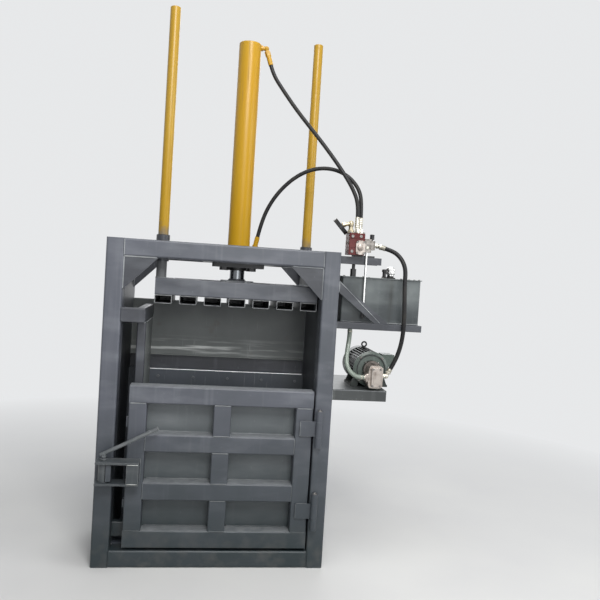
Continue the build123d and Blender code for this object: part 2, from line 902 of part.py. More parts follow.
# Hinges: fixed knuckles with their pin on the post, and a leaf with its knuckle on the door
hinge_y = front - hinge_standoff
half_leaf = hinge_leaf_height / 2
with BuildPart() as hinge_posts:
    for centre in hinge_heights:
        with BuildSketch(Plane.XY.offset(centre - hinge_half_height)):
            with Locations((hinge_x, hinge_y)):
                Circle(hinge_radius)
            with Locations((hinge_x + hinge_radius / 4, hinge_y + hinge_standoff / 2)):
                Rectangle(hinge_radius * 1.5, hinge_standoff)
        extrude(amount=hinge_half_height - half_leaf - knuckle_gap)
        with BuildSketch(Plane.XY.offset(centre + half_leaf + knuckle_gap)):
            with Locations((hinge_x, hinge_y)):
                Circle(hinge_radius)
            with Locations((hinge_x + hinge_radius / 4, hinge_y + hinge_standoff / 2)):
                Rectangle(hinge_radius * 1.5, hinge_standoff)
        extrude(amount=hinge_half_height - half_leaf - knuckle_gap)
        with BuildSketch(Plane.XY.offset(centre - hinge_half_height)):
            with Locations((hinge_x, hinge_y)):
                Circle(hinge_pin_radius)
        extrude(amount=2 * hinge_half_height)
single(hinge_posts.part, "hinge_posts")

with BuildPart() as hinge_leaves:
    for centre in hinge_heights:
        with BuildSketch(Plane.XY.offset(centre - half_leaf)):
            with Locations((hinge_x, hinge_y)):
                Circle(hinge_radius)
            with Locations((hinge_x - hinge_leaf_reach / 2, front - hinge_leaf_thick / 2)):
                Rectangle(hinge_leaf_reach, hinge_leaf_thick)
            with Locations((hinge_x, hinge_y)):
                Circle(hinge_pin_radius + running_clearance, mode=Mode.SUBTRACT)
        extrude(amount=hinge_leaf_height)
single(hinge_leaves.part, "hinge_leaves")

# Latch bracket: two plates that overhang the post, held apart by a block on the door
plate_front = front - latch_plate_depth
high_top = latch_high_plate + latch_plate_thick
plate_centre_x = (latch_plate_left + latch_plate_right) / 2
with BuildPart() as latch_bracket:
    for level in (latch_low_plate, latch_high_plate):
        with BuildSketch(Plane.XY.offset(level)):
            with Locations((plate_centre_x, (plate_front + front - 2) / 2)):
                Rectangle(latch_plate_right - latch_plate_left, latch_plate_depth - 2)
            with Locations((latch_x, latch_y)):
                Circle(latch_journal_radius + running_clearance, mode=Mode.SUBTRACT)
        extrude(amount=latch_plate_thick)
    with BuildSketch(Plane.XY.offset(latch_low_plate)):
        with Locations(((latch_block_left + latch_plate_right) / 2, (plate_front + front) / 2)):
            Rectangle(latch_plate_right - latch_block_left, latch_plate_depth)
    extrude(amount=high_top - latch_low_plate)
    block_front = latch_bracket.faces().sort_by(Axis.Y)[0]
    chamfer(block_front.edges().filter_by(Axis.X).group_by(Axis.Z)[0], 3)
single(latch_bracket.part, "latch_bracket")

# Latch shaft: a round barrel with a flat that lets the keeper's nose pass, and its journals
barrel_low = latch_low_plate + latch_plate_thick + latch_gap
barrel_high = latch_high_plate - latch_gap
notch_low = (barrel_low + barrel_high - latch_notch_height) / 2
lever_slope = (latch_lever_high - latch_lever_low) / (latch_lever_right - latch_lever_left)
lever_cross = latch_lever_low + lever_slope * (latch_x - latch_lever_left)
with BuildPart() as latch_shaft:
    with BuildSketch(Plane.XY.offset(barrel_low)):
        with Locations((latch_x, latch_y)):
            Circle(latch_barrel_radius)
    extrude(amount=barrel_high - barrel_low)
    with BuildSketch(Plane.XY.offset(notch_low)):
        with Locations((latch_x + latch_flat + latch_barrel_radius / 2, latch_y)):
            Rectangle(latch_barrel_radius, 2 * latch_barrel_radius + 2)
    extrude(amount=latch_notch_height, mode=Mode.SUBTRACT)
    with BuildSketch(Plane.XY.offset(latch_low_plate - 4)):
        with Locations((latch_x, latch_y)):
            Circle(latch_journal_radius)
    extrude(amount=barrel_low - latch_low_plate + 4)
    with BuildSketch(Plane.XY.offset(barrel_high)):
        with Locations((latch_x, latch_y)):
            Circle(latch_journal_radius)
    extrude(amount=lever_cross - latch_collar - barrel_high)
single(latch_shaft.part, "latch_shaft")

# Latch lever: a round bar that slants up across the door, on a collar on the shaft
lever_start = Vector(latch_lever_left, latch_y, latch_lever_low)
lever_end = Vector(latch_lever_right, latch_y, latch_lever_high)
lever_seat = lever_cross - latch_collar
with BuildPart() as latch_lever:
    with BuildSketch(Plane(origin=lever_start, z_dir=lever_end - lever_start)):
        Circle(latch_lever_radius)
    extrude(amount=(lever_end - lever_start).length)
    with BuildSketch(Plane.XY.offset(lever_seat)):
        with Locations((latch_x, latch_y)):
            Circle(latch_journal_radius)
    extrude(amount=latch_collar)
single(latch_lever.part, "latch_lever")

# Keeper on the front post: a stem with a nose that points at the latch shaft
stem_left = latch_x + keeper_nose_end
nose_front = latch_y - latch_barrel_radius - 1
nose_height_low = (barrel_low + barrel_high - keeper_nose_height) / 2
with BuildPart() as latch_keeper:
    with BuildSketch(Plane.XY.offset(nose_height_low)):
        with BuildLine():
            Polyline(
                (stem_left + keeper_stem, front),
                (stem_left + keeper_stem, nose_front),
                (latch_x + keeper_nose_start, nose_front),
                (latch_x + keeper_nose_start, nose_front + keeper_nose_depth),
                (stem_left, nose_front + keeper_nose_depth),
                (stem_left, front),
                close=True,
            )
        make_face()
    extrude(amount=keeper_nose_height)
single(latch_keeper.part, "latch_keeper")

# Tank shelf: rails from the right-hand posts, a cross rail and two flat struts
shelf_left = frame_width / 2
shelf_right = shelf_left + tank_shelf_reach
shelf_low = tank_shelf_top - shelf_rail
rail_back = shelf_back - shelf_rail
tank_back = tank_front + tank_depth
strut_parts = []
for strut_front in (unit_front, back_inner + (unit_front - front)):
    with BuildPart() as strut:
        with BuildSketch(Plane.XZ.offset(-strut_front - strut_thick)):
            with BuildLine():
                Polyline(
                    (shelf_left, strut_top + strut_width * 0.6),
                    (shelf_left, strut_top - strut_width * 0.6),
                    (shelf_left + strut_run - strut_width, tank_shelf_top),
                    (shelf_left + strut_run + strut_width * 0.6, tank_shelf_top),
                    close=True,
                )
            make_face()
        extrude(amount=strut_thick)
    strut_parts.append(strut.part)
tank_shelf = [
    beam_along_x(shelf_left, shelf_right, unit_front, unit_front + shelf_rail, shelf_low, tank_shelf_top, shelf_wall, 4),
    beam_along_x(shelf_left, shelf_right, rail_back, shelf_back, shelf_low, tank_shelf_top, shelf_wall, 4),
    beam_along_y(
        unit_front + shelf_rail, rail_back, tank_left + 8, tank_left + 8 + shelf_rail,
        shelf_low, tank_shelf_top, shelf_wall, 4,
    ),
    beam_along_y(
        unit_front + shelf_rail, rail_back, shelf_right - shelf_rail, shelf_right,
        shelf_low, tank_shelf_top, shelf_wall, 4,
    ),
]
group("tank_shelf", *tank_shelf, *strut_parts)

# Motor shelf: two rails and an end rail under a plate
motor_right = shelf_left + motor_shelf_reach
rail_top = motor_shelf_top - shelf_plate
rail_low = rail_top - motor_rail_height
motor_shelf = [
    beam_along_x(shelf_left, motor_right, unit_front, unit_front + shelf_rail, rail_low, rail_top, shelf_wall, 4),
    beam_along_x(shelf_left, motor_right, rail_back, shelf_back, rail_low, rail_top, shelf_wall, 4),
    beam_along_y(
        unit_front + shelf_rail, rail_back, motor_right - shelf_rail, motor_right, rail_low, rail_top, shelf_wall, 4
    ),
    block(shelf_left, motor_right, unit_front, shelf_back, rail_top, motor_shelf_top),
]
group("motor_shelf", *motor_shelf)

# Oil tank: a folded box open at the top
tank_top = tank_shelf_top + tank_height
tank_right = tank_left + tank_width
tank_centre = ((tank_left + tank_right) / 2, (tank_front + tank_back) / 2)
with BuildPart() as oil_tank:
    with BuildSketch(Plane.XY.offset(tank_shelf_top)):
        with Locations(tank_centre):
            RectangleRounded(tank_width, tank_depth, 8)
    extrude(amount=tank_height)
    with BuildSketch(Plane.XY.offset(tank_shelf_top + tank_wall)):
        with Locations(tank_centre):
            RectangleRounded(tank_width - 2 * tank_wall, tank_depth - 2 * tank_wall, 8 - tank_wall)
    extrude(amount=tank_height - tank_wall, mode=Mode.SUBTRACT)
with BuildPart() as tank_lid:
    with BuildSketch(Plane.XY.offset(tank_top)):
        with Locations(tank_centre):
            RectangleRounded(tank_width + 2 * lid_lap, tank_depth + 2 * lid_lap, 10)
    extrude(amount=lid_thick)
group("oil_tank", oil_tank.part, tank_lid.part)

# Filler breather and dipstick plug on the lid, each turned about its own axis
breather_profile = [
    (0, 0), (32, 0), (32, 8), (21, 8), (21, 24), (27, 28), (27, 62), (22, 70), (0, 74), (0, 0),
]
dipstick_profile = [(0, 0), (14.5, 0), (14.5, 12), (11, 12), (11, 38), (15, 38), (15, 56), (0, 56), (0, 0)]
with BuildPart() as filler_breather:
    for x, y, profile in ((breather_x, breather_y, breather_profile), (dipstick_x, dipstick_y, dipstick_profile)):
        with BuildSketch(Plane(origin=(x, y, lid_top), x_dir=(1, 0, 0), z_dir=(0, -1, 0))):
            with BuildLine():
                Polyline(*profile)
            make_face()
        revolve(axis=Axis((x, y, lid_top), (0, 0, 1)))
single(filler_breather.part, "filler_breather")

# Valve stand: a plate welded to the post, folded down at the front and back
stand_back = stand_front + stand_depth
with BuildPart() as valve_stand:
    with BuildSketch(Plane.YZ.offset(stand_left)):
        with BuildLine():
            Polyline(
                (stand_front, stand_top - stand_flange),
                (stand_front + stand_thick, stand_top - stand_flange),
                (stand_front + stand_thick, stand_top - stand_thick),
                (stand_back - stand_thick, stand_top - stand_thick),
                (stand_back - stand_thick, stand_top - stand_flange),
                (stand_back, stand_top - stand_flange),
                (stand_back, stand_top),
                (stand_front, stand_top),
                close=True,
            )
        make_face()
    extrude(amount=stand_reach)
single(valve_stand.part, "valve_stand")

# Valve subplate, and the return pipe with its nut between the stand and the tank
with BuildPart() as return_pipe:
    with BuildSketch(Plane.XY.offset(lid_top)):
        with Locations((return_pipe_x, tank_front + return_pipe_inset)):
            Circle(return_pipe_radius)
    extrude(amount=stand_top - stand_thick - lid_top)
    with BuildSketch(Plane.XY.offset(lid_top)):
        with Locations((return_pipe_x, tank_front + return_pipe_inset)):
            RegularPolygon(return_nut_radius, 6)
    extrude(amount=return_nut_height)
subplate = block(
    valve_left + 40, relief_right + 2, stand_front, valve_back - subplate_margin, stand_top, valve_low
)
group("valve_subplate", subplate, return_pipe.part)

# Valve body, with the spool bore, the lever ears and the relief block
pivot_x = valve_right + spool_head_start + spool_head_length / 2
pivot_z = spool_z - pivot_drop
with BuildPart() as valve_body:
    with BuildSketch(Plane.XY.offset(valve_low)):
        with Locations(((valve_left + valve_right) / 2, (valve_front + valve_back) / 2)):
            RectangleRounded(valve_width, valve_depth, 6)
    extrude(amount=valve_height)
    for level in (valve_low + valve_height * 0.3, valve_low + valve_height * 0.72):
        with BuildSketch(Plane.XY.offset(level)):
            with Locations(((valve_left + valve_right) / 2, (valve_front + valve_back) / 2)):
                Rectangle(valve_width, valve_depth)
                Rectangle(valve_width - 6, valve_depth - 6, mode=Mode.SUBTRACT)
        extrude(amount=5, mode=Mode.SUBTRACT)
    with BuildSketch(Plane.XY.offset(relief_low)):
        with Locations(((valve_right + relief_right) / 2, valve_back - relief_depth / 2 - 10)):
            Rectangle(relief_width, relief_depth)
    extrude(amount=relief_height)
    for ear_y in (spool_y - ear_gap / 2 - ear_thick, spool_y + ear_gap / 2):
        with BuildSketch(Plane.XY.offset(pivot_z - ear_height * 0.35)):
            with Locations((valve_right + ear_reach / 2, ear_y + ear_thick / 2)):
                Rectangle(ear_reach, ear_thick)
        extrude(amount=ear_height)
    with BuildSketch(Plane(origin=(valve_left + spool_left_gap, spool_y, spool_z), z_dir=(1, 0, 0))):
        Circle(spool_radius + running_clearance)
    extrude(amount=valve_width, mode=Mode.SUBTRACT)
    with BuildSketch(Plane.XZ.offset(-spool_y - 2 * ear_gap)):
        with Locations((pivot_x, pivot_z)):
            Circle(pivot_radius + running_clearance)
    extrude(amount=4 * ear_gap, mode=Mode.SUBTRACT)
single(valve_body.part, "valve_body")

# Spool with its slotted head, which the lever's tongue drives
head_start = valve_right + spool_head_start
spool_travel_room = 14
with BuildPart() as valve_spool:
    spool_start = valve_left + spool_left_gap + spool_travel_room
    with BuildSketch(Plane(origin=(spool_start, spool_y, spool_z), z_dir=(1, 0, 0))):
        Circle(spool_radius)
    extrude(amount=head_start - spool_start)
    with BuildSketch(Plane(origin=(head_start, spool_y, spool_z), x_dir=(0, 1, 0), z_dir=(1, 0, 0))):
        Rectangle(spool_head_width, spool_head_height)
    extrude(amount=spool_head_length)
    with BuildSketch(Plane.XY.offset(spool_z - spool_head_height / 2)):
        with Locations((pivot_x, spool_y)):
            Rectangle(spool_slot, spool_head_width + 2)
    extrude(amount=spool_head_height * 0.7, mode=Mode.SUBTRACT)
single(valve_spool.part, "valve_spool")

# Control lever: tongue, pivot pin, head block and a rod that hangs in front of the tank
lever_block = 16
grip_top = tank_shelf_top + grip_above_shelf
tongue_top = spool_z + spool_head_height * 0.1
with BuildPart() as valve_lever:
    with BuildSketch(Plane.XY.offset(pivot_z - lever_block * 0.6)):
        with Locations((pivot_x, spool_y)):
            Rectangle(lever_block - 2, ear_gap - 2)
    extrude(amount=lever_block * 1.2)
    with BuildSketch(Plane.XY.offset(pivot_z)):
        with Locations((pivot_x, spool_y)):
            Rectangle(tongue_width, ear_gap - 6)
    extrude(amount=tongue_top - pivot_z)
    with BuildSketch(Plane.XZ.offset(-spool_y - ear_gap / 2 - ear_thick)):
        with Locations((pivot_x, pivot_z)):
            Circle(pivot_radius)
    extrude(amount=ear_gap + 2 * ear_thick)
    with BuildSketch(Plane.XY.offset(pivot_z)):
        with Locations((pivot_x, spool_y)):
            Circle(lever_radius)
    extrude(amount=grip_top - pivot_z)
single(valve_lever.part, "valve_lever")
with BuildPart() as lever_grip:
    with BuildSketch(Plane.XY.offset(grip_top)):
        with Locations((pivot_x, spool_y)):
            Circle(grip_radius)
    extrude(amount=-grip_length)
    fillet(lever_grip.edges().group_by(Axis.Z)[0], grip_radius * 0.8)
    fillet(lever_grip.edges().group_by(Axis.Z)[-1], 3)
single(lever_grip.part, "lever_grip")

# Relief valve knob on top of the relief block
relief_top = relief_low + relief_height
knob_x = relief_right - knob_radius
knob_y = valve_back - relief_depth / 2 - 10
with BuildPart() as relief_knob:
    with BuildSketch(Plane.XY.offset(relief_top)):
        with Locations((knob_x, knob_y)):
            Circle(knob_stem)
    extrude(amount=8)
    with BuildSketch(Plane.XY.offset(relief_top + 8)):
        with Locations((knob_x, knob_y)):
            RegularPolygon(knob_radius, 10)
    extrude(amount=knob_height)
single(relief_knob.part, "relief_knob")

# Pressure gauge: case open at the dial, glass, pointer, and the brass joint that carries it
tilt = math.radians(gauge_tilt)
yaw = math.radians(gauge_yaw)
gauge_centre = (gauge_x, gauge_y, valve_high + gauge_above_valve)
gauge_normal = Vector(-math.sin(tilt) * math.cos(yaw), math.sin(tilt) * math.sin(yaw), -math.cos(tilt))
gauge_back = Plane(origin=Vector(gauge_centre) - gauge_normal * (gauge_thick / 2), z_dir=gauge_normal)
with BuildPart() as pressure_gauge:
    with BuildSketch(gauge_back):
        Circle(gauge_radius)
    extrude(amount=gauge_thick)
    with BuildSketch(gauge_back.offset(gauge_thick - gauge_recess)):
        Circle(gauge_radius - gauge_rim)
    extrude(amount=gauge_recess, mode=Mode.SUBTRACT)
    with BuildSketch(gauge_back.offset(gauge_thick - gauge_recess)):
        Circle(2.5)
    extrude(amount=4)
single(pressure_gauge.part, "pressure_gauge")
with BuildPart() as gauge_glass:
    with BuildSketch(gauge_back.offset(gauge_thick - glass_thick - 1)):
        Circle(gauge_radius - gauge_rim - glass_gap)
    extrude(amount=glass_thick)
single(gauge_glass.part, "gauge_glass")
with BuildPart() as gauge_pointer:
    with BuildSketch(gauge_back.offset(gauge_thick - gauge_recess + 1.5)):
        with BuildLine():
            Polyline((-12, -3), (pointer_length, -0.8), (pointer_length, 0.8), (-12, 3), close=True)
        make_face()
        Circle(6)
        Circle(2.5 + running_clearance, mode=Mode.SUBTRACT)
    extrude(amount=pointer_thick)
single(gauge_pointer.part, "gauge_pointer")

# Brass joint that carries the gauge on the valve
gauge_stem_x = valve_left + gauge_stem_inset
joint_centre = Vector(gauge_stem_x, gauge_y, valve_high + gauge_joint_height)
joint_target = Vector(gauge_centre) - gauge_normal * (gauge_thick / 2)
with BuildPart() as brass_fittings:
    with BuildSketch(Plane.XY.offset(valve_high)):
        with Locations((gauge_stem_x, gauge_y)):
            Circle(gauge_stem_radius)
    extrude(amount=gauge_joint_height)
    with BuildSketch(Plane.XY.offset(valve_high)):
        with Locations((gauge_stem_x, gauge_y)):
            RegularPolygon(gauge_stem_radius * 1.4, 6)
    extrude(amount=16)
    with Locations(joint_centre):
        Sphere(gauge_joint_radius)
    with BuildSketch(Plane(origin=joint_target, z_dir=joint_centre - joint_target)):
        Circle(gauge_stem_radius)
    extrude(amount=(joint_centre - joint_target).length)
    split(bisect_by=gauge_back, keep=Keep.BOTTOM)
single(brass_fittings.part, "brass_fittings")

# Steel hose ends: straight ones at the valve, the tank and the pump, and ball elbows where they turn
delivery_route = fitted(delivery_laid, pump_outlet, relief_inlet)
suction_route = fitted(suction_laid, tank_outlet, pump_inlet)
delivery_path = trimmed(delivery_route, delivery_fittings)
suction_path = trimmed(suction_route, suction_fittings)
hose_fittings = [
    fitting_solid(path[0], route[0], diameter)
    for route, path, diameter in (
        (extend_route, extend_path, pressure_hose),
        (retract_route, retract_path, pressure_hose),
        (suction_route, suction_path, suction_diameter),
    )
]
hose_fittings.append(fitting_solid(suction_path[-1], suction_route[-1], suction_diameter))
for end, face in ((0, pump_right), (-1, relief_right)):
    seat, hose_end = delivery_route[end], delivery_path[end]
    elbow_piece = elbow_solid(seat, face, hose_end, elbow_ball)
    ferrule_piece = fitting_solid(hose_end, beyond_elbow(seat, hose_end, elbow_ball), delivery_diameter)
    hose_fittings += [elbow_piece, ferrule_piece]
group("hose_fittings", *hose_fittings)

# Hoses
extend_hose = hose_solid(extend_path, pressure_hose)
retract_hose = hose_solid(retract_path, pressure_hose)
delivery_hose = hose_solid(delivery_path, delivery_diameter)
suction_hose = hose_solid(suction_path, suction_diameter)
single(extend_hose, "extend_hose")
single(retract_hose, "retract_hose")
single(delivery_hose, "delivery_hose")
single(suction_hose, "suction_hose")

# Motor frame: a finned shell with two feet
frame_front = motor_front + shield_thick
frame_back = frame_front + motor_length
motor_plane = Plane(origin=(motor_x, frame_front, shaft_z), x_dir=(1, 0, 0), z_dir=(0, 1, 0))
with BuildPart() as motor_frame:
    with BuildSketch(motor_plane):
        Circle(frame_core_radius)
        with PolarLocations(frame_core_radius, fin_count):
            Rectangle(2 * (fin_radius - frame_core_radius), fin_thick)
        Circle(stator_bore, mode=Mode.SUBTRACT)
    extrude(amount=motor_length)
    foot_front = frame_front + 12
    for side in (-1, 1):
        with BuildSketch(Plane.XY.offset(motor_shelf_top)):
            with Locations((motor_x + side * (foot_inner + foot_width / 2), foot_front + foot_length / 2)):
                Rectangle(foot_width, foot_length)
        extrude(amount=foot_thick)
        for y in (foot_front, foot_front + foot_length - foot_thick):
            with BuildSketch(Plane.XZ.offset(-y - foot_thick)):
                with BuildLine():
                    Polyline(
                        (motor_x + side * foot_inner, motor_shelf_top),
                        (motor_x + side * (foot_inner + foot_width), motor_shelf_top),
                        (motor_x + side * (foot_inner + 18), shaft_z - 40),
                        (motor_x + side * (foot_inner - 12), shaft_z - 60),
                        close=True,
                    )
                make_face()
            extrude(amount=foot_thick)

# End shields: dished discs with the shaft bore
shield_profile = [
    (shaft_radius + running_clearance, 0), (40, 0), (46, 5), (shield_radius - 14, 8), (shield_radius, 14),
    (shield_radius, shield_thick), (shaft_radius + running_clearance, shield_thick),
]
shield_parts = []
for start, direction, thick in ((motor_front, 1, shield_thick), (frame_back + rear_shield_thick, -1, rear_shield_thick)):
    with BuildPart() as shield:
        with BuildSketch(Plane.XY.offset(shaft_z)):
            with BuildLine():
                Polyline(*[(motor_x + r, start + direction * min(d, thick)) for r, d in shield_profile], close=True)
            make_face()
        revolve(axis=Axis((motor_x, 0, shaft_z), (0, 1, 0)))
    shield_parts.append(shield.part)
group("motor_shields", *shield_parts)

# Rotor on its shaft, and the fan behind the rear shield
rotor_front = frame_front + 45
shaft_front = motor_front - bell_length + 12
fan_start = frame_back + rear_shield_thick + 10
fan_length = 34
rotor_plane = Plane(origin=(motor_x, shaft_front, shaft_z), x_dir=(1, 0, 0), z_dir=(0, 1, 0))
with BuildPart() as rotor:
    with BuildSketch(rotor_plane):
        Circle(shaft_radius)
    extrude(amount=fan_start + fan_length - shaft_front)
    with BuildSketch(rotor_plane.offset(rotor_front - shaft_front)):
        Circle(rotor_radius)
    extrude(amount=rotor_length)
single(rotor.part, "rotor")
fan_plane = Plane(origin=(motor_x, fan_start, shaft_z), x_dir=(1, 0, 0), z_dir=(0, 1, 0))
with BuildPart() as motor_fan:
    with BuildSketch(fan_plane):
        Circle(30)
    extrude(amount=fan_length)
    with BuildSketch(fan_plane):
        Circle(fan_radius)
    extrude(amount=3)
    with BuildSketch(fan_plane):
        with PolarLocations((fan_radius + 28) / 2, fan_blades):
            Rectangle(fan_radius - 28, 3)
    extrude(amount=fan_length - 4)
    with BuildSketch(fan_plane):
        Circle(shaft_radius)
    extrude(amount=fan_length, mode=Mode.SUBTRACT)
single(motor_fan.part, "motor_fan")

# Fan cowl: a thin cup over the fan with ring slots in its end
cowl_start = frame_back + 2
cowl_plane = Plane(origin=(motor_x, cowl_start, shaft_z), x_dir=(1, 0, 0), z_dir=(0, 1, 0))
cowl_outer = shield_radius + cowl_wall
with BuildPart() as fan_cowl:
    with BuildSketch(cowl_plane):
        Circle(cowl_outer)
    extrude(amount=cowl_length)
    fillet(fan_cowl.edges().group_by(Axis.Y)[-1], 14)
    with BuildSketch(cowl_plane):
        Circle(cowl_outer - cowl_wall)
    extrude(amount=cowl_length - 16, mode=Mode.SUBTRACT)
    with BuildSketch(cowl_plane):
        Circle(cowl_outer - 15)
    extrude(amount=cowl_length - cowl_wall, mode=Mode.SUBTRACT)
    with BuildSketch(cowl_plane.offset(cowl_length - 2 * cowl_wall)):
        for ring in (30, 48, 66, 84):
            with PolarLocations(ring, 8):
                Rectangle(8, ring * 0.55)
    extrude(amount=3 * cowl_wall, mode=Mode.SUBTRACT)
single(fan_cowl.part, "fan_cowl")

# Terminal box on the right of the motor frame, and the lifting eye on top
box_low = shaft_z + box_offset - box_height / 2
box_front = frame_front + 50
with BuildPart() as terminal_box:
    with BuildSketch(Plane.XY.offset(box_low)):
        with Locations((motor_x + fin_radius + box_reach / 2 - 10, box_front + box_length / 2)):
            Rectangle(box_reach + 20, box_length)
    extrude(amount=box_height)
    fillet(terminal_box.faces().sort_by(Axis.X)[-1].edges(), 8)
    with BuildSketch(Plane(origin=(motor_x, box_front - 1, shaft_z), x_dir=(1, 0, 0), z_dir=(0, 1, 0))):
        Circle(fin_radius + 0.3)
    extrude(amount=box_length + 2, mode=Mode.SUBTRACT)
single(terminal_box.part, "terminal_box")
eye_z = shaft_z + fin_radius
with BuildPart() as lifting_eye:
    with BuildSketch(Plane.XY.offset(eye_z)):
        with Locations((motor_x, eye_y)):
            Circle(11)
    extrude(amount=8)
    with Locations(Location((motor_x, eye_y, eye_z + 24), (90, 0, 0))):
        Torus(15, 5)
group("motor_frame", motor_frame.part, lifting_eye.part)

# Bell housing between the motor and the pump
with BuildPart() as bell_housing:
    with BuildSketch(Plane(origin=(motor_x, pump_back, shaft_z), x_dir=(1, 0, 0), z_dir=(0, 1, 0))):
        Circle(bell_radius)
        Circle(bell_radius - bell_wall, mode=Mode.SUBTRACT)
    extrude(amount=bell_length)
single(bell_housing.part, "bell_housing")

# Pump body: two gear bores in one block with a narrower front cover
gear_distance = gear_teeth * gear_module
driven_z = shaft_z - gear_distance
tip_radius = gear_distance / 2 + gear_module
gear_front = pump_back - pump_length / 2 - gear_width / 2
pump_mid_z = (shaft_z + driven_z - pump_foot) / 2
pump_height = gear_distance + 2 * pump_shoulder + pump_foot
pump_plane = Plane(origin=(motor_x, pump_front, pump_mid_z), x_dir=(-1, 0, 0), z_dir=(0, 1, 0))
with BuildPart() as pump_body:
    with BuildSketch(pump_plane):
        RectangleRounded(2 * pump_half_width, pump_height, 22)
    extrude(amount=pump_length)
    for groove in (pump_length * 0.3, pump_length * 0.72):
        with BuildSketch(pump_plane.offset(groove)):
            Rectangle(2 * pump_half_width, pump_height)
            RectangleRounded(2 * pump_half_width - 4, pump_height - 4, 20, mode=Mode.SUBTRACT)
        extrude(amount=3, mode=Mode.SUBTRACT)
    with BuildSketch(pump_plane):
        RectangleRounded(2 * pump_cover_half, pump_height - 2 * pump_cover_inset, 14)
    extrude(amount=-pump_cover_thick)
    chamfer(pump_body.edges().group_by(Axis.Y)[0], 3)
    with BuildSketch(pump_plane):
        with GridLocations(2 * (pump_half_width - pump_bolt_inset), pump_height - 26, 2, 2):
            RegularPolygon(6, 6)
    extrude(amount=-7)
    for z in (shaft_z, driven_z):
        with BuildSketch(Plane(origin=(motor_x, gear_front - 0.2, z), x_dir=(1, 0, 0), z_dir=(0, 1, 0))):
            Circle(tip_radius + sliding_clearance)
        extrude(amount=gear_width + 0.4, mode=Mode.SUBTRACT)
        with BuildSketch(Plane(origin=(motor_x, gear_front - 18, z), x_dir=(1, 0, 0), z_dir=(0, 1, 0))):
            Circle(gear_shaft_radius + running_clearance)
        extrude(amount=gear_width + 36, mode=Mode.SUBTRACT)
    with BuildSketch(Plane(origin=(motor_x, gear_front, shaft_z), x_dir=(1, 0, 0), z_dir=(0, 1, 0))):
        Circle(gear_shaft_radius + running_clearance)
    extrude(amount=pump_back - gear_front, mode=Mode.SUBTRACT)
single(pump_body.part, "pump_body")


def gear_outline(first_angle):
    """Corner points of a spur gear: root, flank and tip of each tooth as angles about the pitch line."""
    root = gear_distance / 2 - 1.25 * gear_module
    pitch_angle = 360 / gear_teeth
    corners = ((root, -0.33), (gear_distance / 2, -0.225), (tip_radius, -0.1))
    corners += tuple((radius, -share) for radius, share in reversed(corners))
    points = []
    for tooth in range(gear_teeth):
        for radius, share in corners:
            angle = math.radians(first_angle + (tooth + share) * pitch_angle)
            points.append((radius * math.cos(angle), radius * math.sin(angle)))
    return points


gear_names = ("drive_gear", "driven_gear")
for label, z, first_angle in zip(gear_names, (shaft_z, driven_z), (-90, 90 + 180 / gear_teeth)):
    gear_plane = Plane(origin=(motor_x, gear_front, z), x_dir=(1, 0, 0), z_dir=(0, -1, 0))
    shaft_end = shaft_front if label == "drive_gear" else gear_front + gear_width + 17
    with BuildPart() as gear:
        with BuildSketch(gear_plane):
            with BuildLine():
                Polyline(*gear_outline(first_angle), close=True)
            make_face()
        extrude(amount=-gear_width)
        with BuildSketch(gear_plane.offset(17)):
            Circle(gear_shaft_radius)
        extrude(amount=-(shaft_end - gear_front + 17))
    single(gear.part, label)
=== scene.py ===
import math

import bpy
import numpy as np
from mathutils import Matrix, Vector


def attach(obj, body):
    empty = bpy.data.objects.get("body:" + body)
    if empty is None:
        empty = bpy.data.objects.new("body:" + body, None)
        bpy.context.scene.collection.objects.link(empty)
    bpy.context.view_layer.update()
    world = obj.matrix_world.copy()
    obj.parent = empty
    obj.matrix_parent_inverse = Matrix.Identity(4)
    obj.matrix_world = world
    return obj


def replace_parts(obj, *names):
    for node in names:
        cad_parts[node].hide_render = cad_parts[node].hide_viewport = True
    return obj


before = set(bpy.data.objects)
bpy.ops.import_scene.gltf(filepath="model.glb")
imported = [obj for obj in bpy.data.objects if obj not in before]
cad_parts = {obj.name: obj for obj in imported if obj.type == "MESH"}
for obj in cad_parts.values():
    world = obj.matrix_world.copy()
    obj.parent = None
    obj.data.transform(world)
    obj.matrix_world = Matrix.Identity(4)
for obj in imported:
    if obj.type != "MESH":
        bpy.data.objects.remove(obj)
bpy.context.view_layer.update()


# The camera: standing on the floor about four metres in front of the press, a little left of it,
# turned right, tipped down and rolled slightly, as the picture was taken.
yaw, pitch, roll = math.radians(8.0), math.radians(1.9), math.radians(3.565)
eye, focal_pixels, frame_pixels, sensor_width = (-0.094, -4.129, 1.715), 658.65, 600.0, 36.0
forward = Vector((math.sin(yaw) * math.cos(pitch), math.cos(yaw) * math.cos(pitch), -math.sin(pitch)))
level = Vector((math.cos(yaw), -math.sin(yaw), 0.0))
upright = level.cross(forward)
right = level * math.cos(roll) + upright * math.sin(roll)
top = upright * math.cos(roll) - level * math.sin(roll)
camera_data = bpy.data.cameras.new("camera")
camera_data.sensor_width = sensor_width
camera_data.lens = sensor_width * focal_pixels / frame_pixels
camera = bpy.data.objects.new("camera", camera_data)
turn = Matrix((right, top, -forward)).transposed().to_4x4()
camera.matrix_world = Matrix.Translation(eye) @ turn
bpy.context.scene.collection.objects.link(camera)
bpy.context.scene.camera = camera


# Two pressure hoses from the valve to the cylinder, and one from the pump to the valve: black
# synthetic rubber over wire braid, crimped into steel ferrules at both ends, stiff and springy.
def node(beside, kind, **values):
    """New shader node of a kind, in the tree of a node, socket or tree, with its properties set."""
    made = beside.id_data.nodes.new("ShaderNode" + kind)
    for name, value in values.items():
        setattr(made, name, value)
    return made


def link(source, target):
    """Joins an output socket to an input socket."""
    source.id_data.links.new(source, target)


def new_material(name):
    """Empty node material: returns (material, principled shader, object coordinates)."""
    made = bpy.data.materials.new(name)
    made.use_nodes = True
    shader = made.node_tree.nodes["Principled BSDF"]
    return made, shader, node(shader, "TexCoord").outputs["Object"]


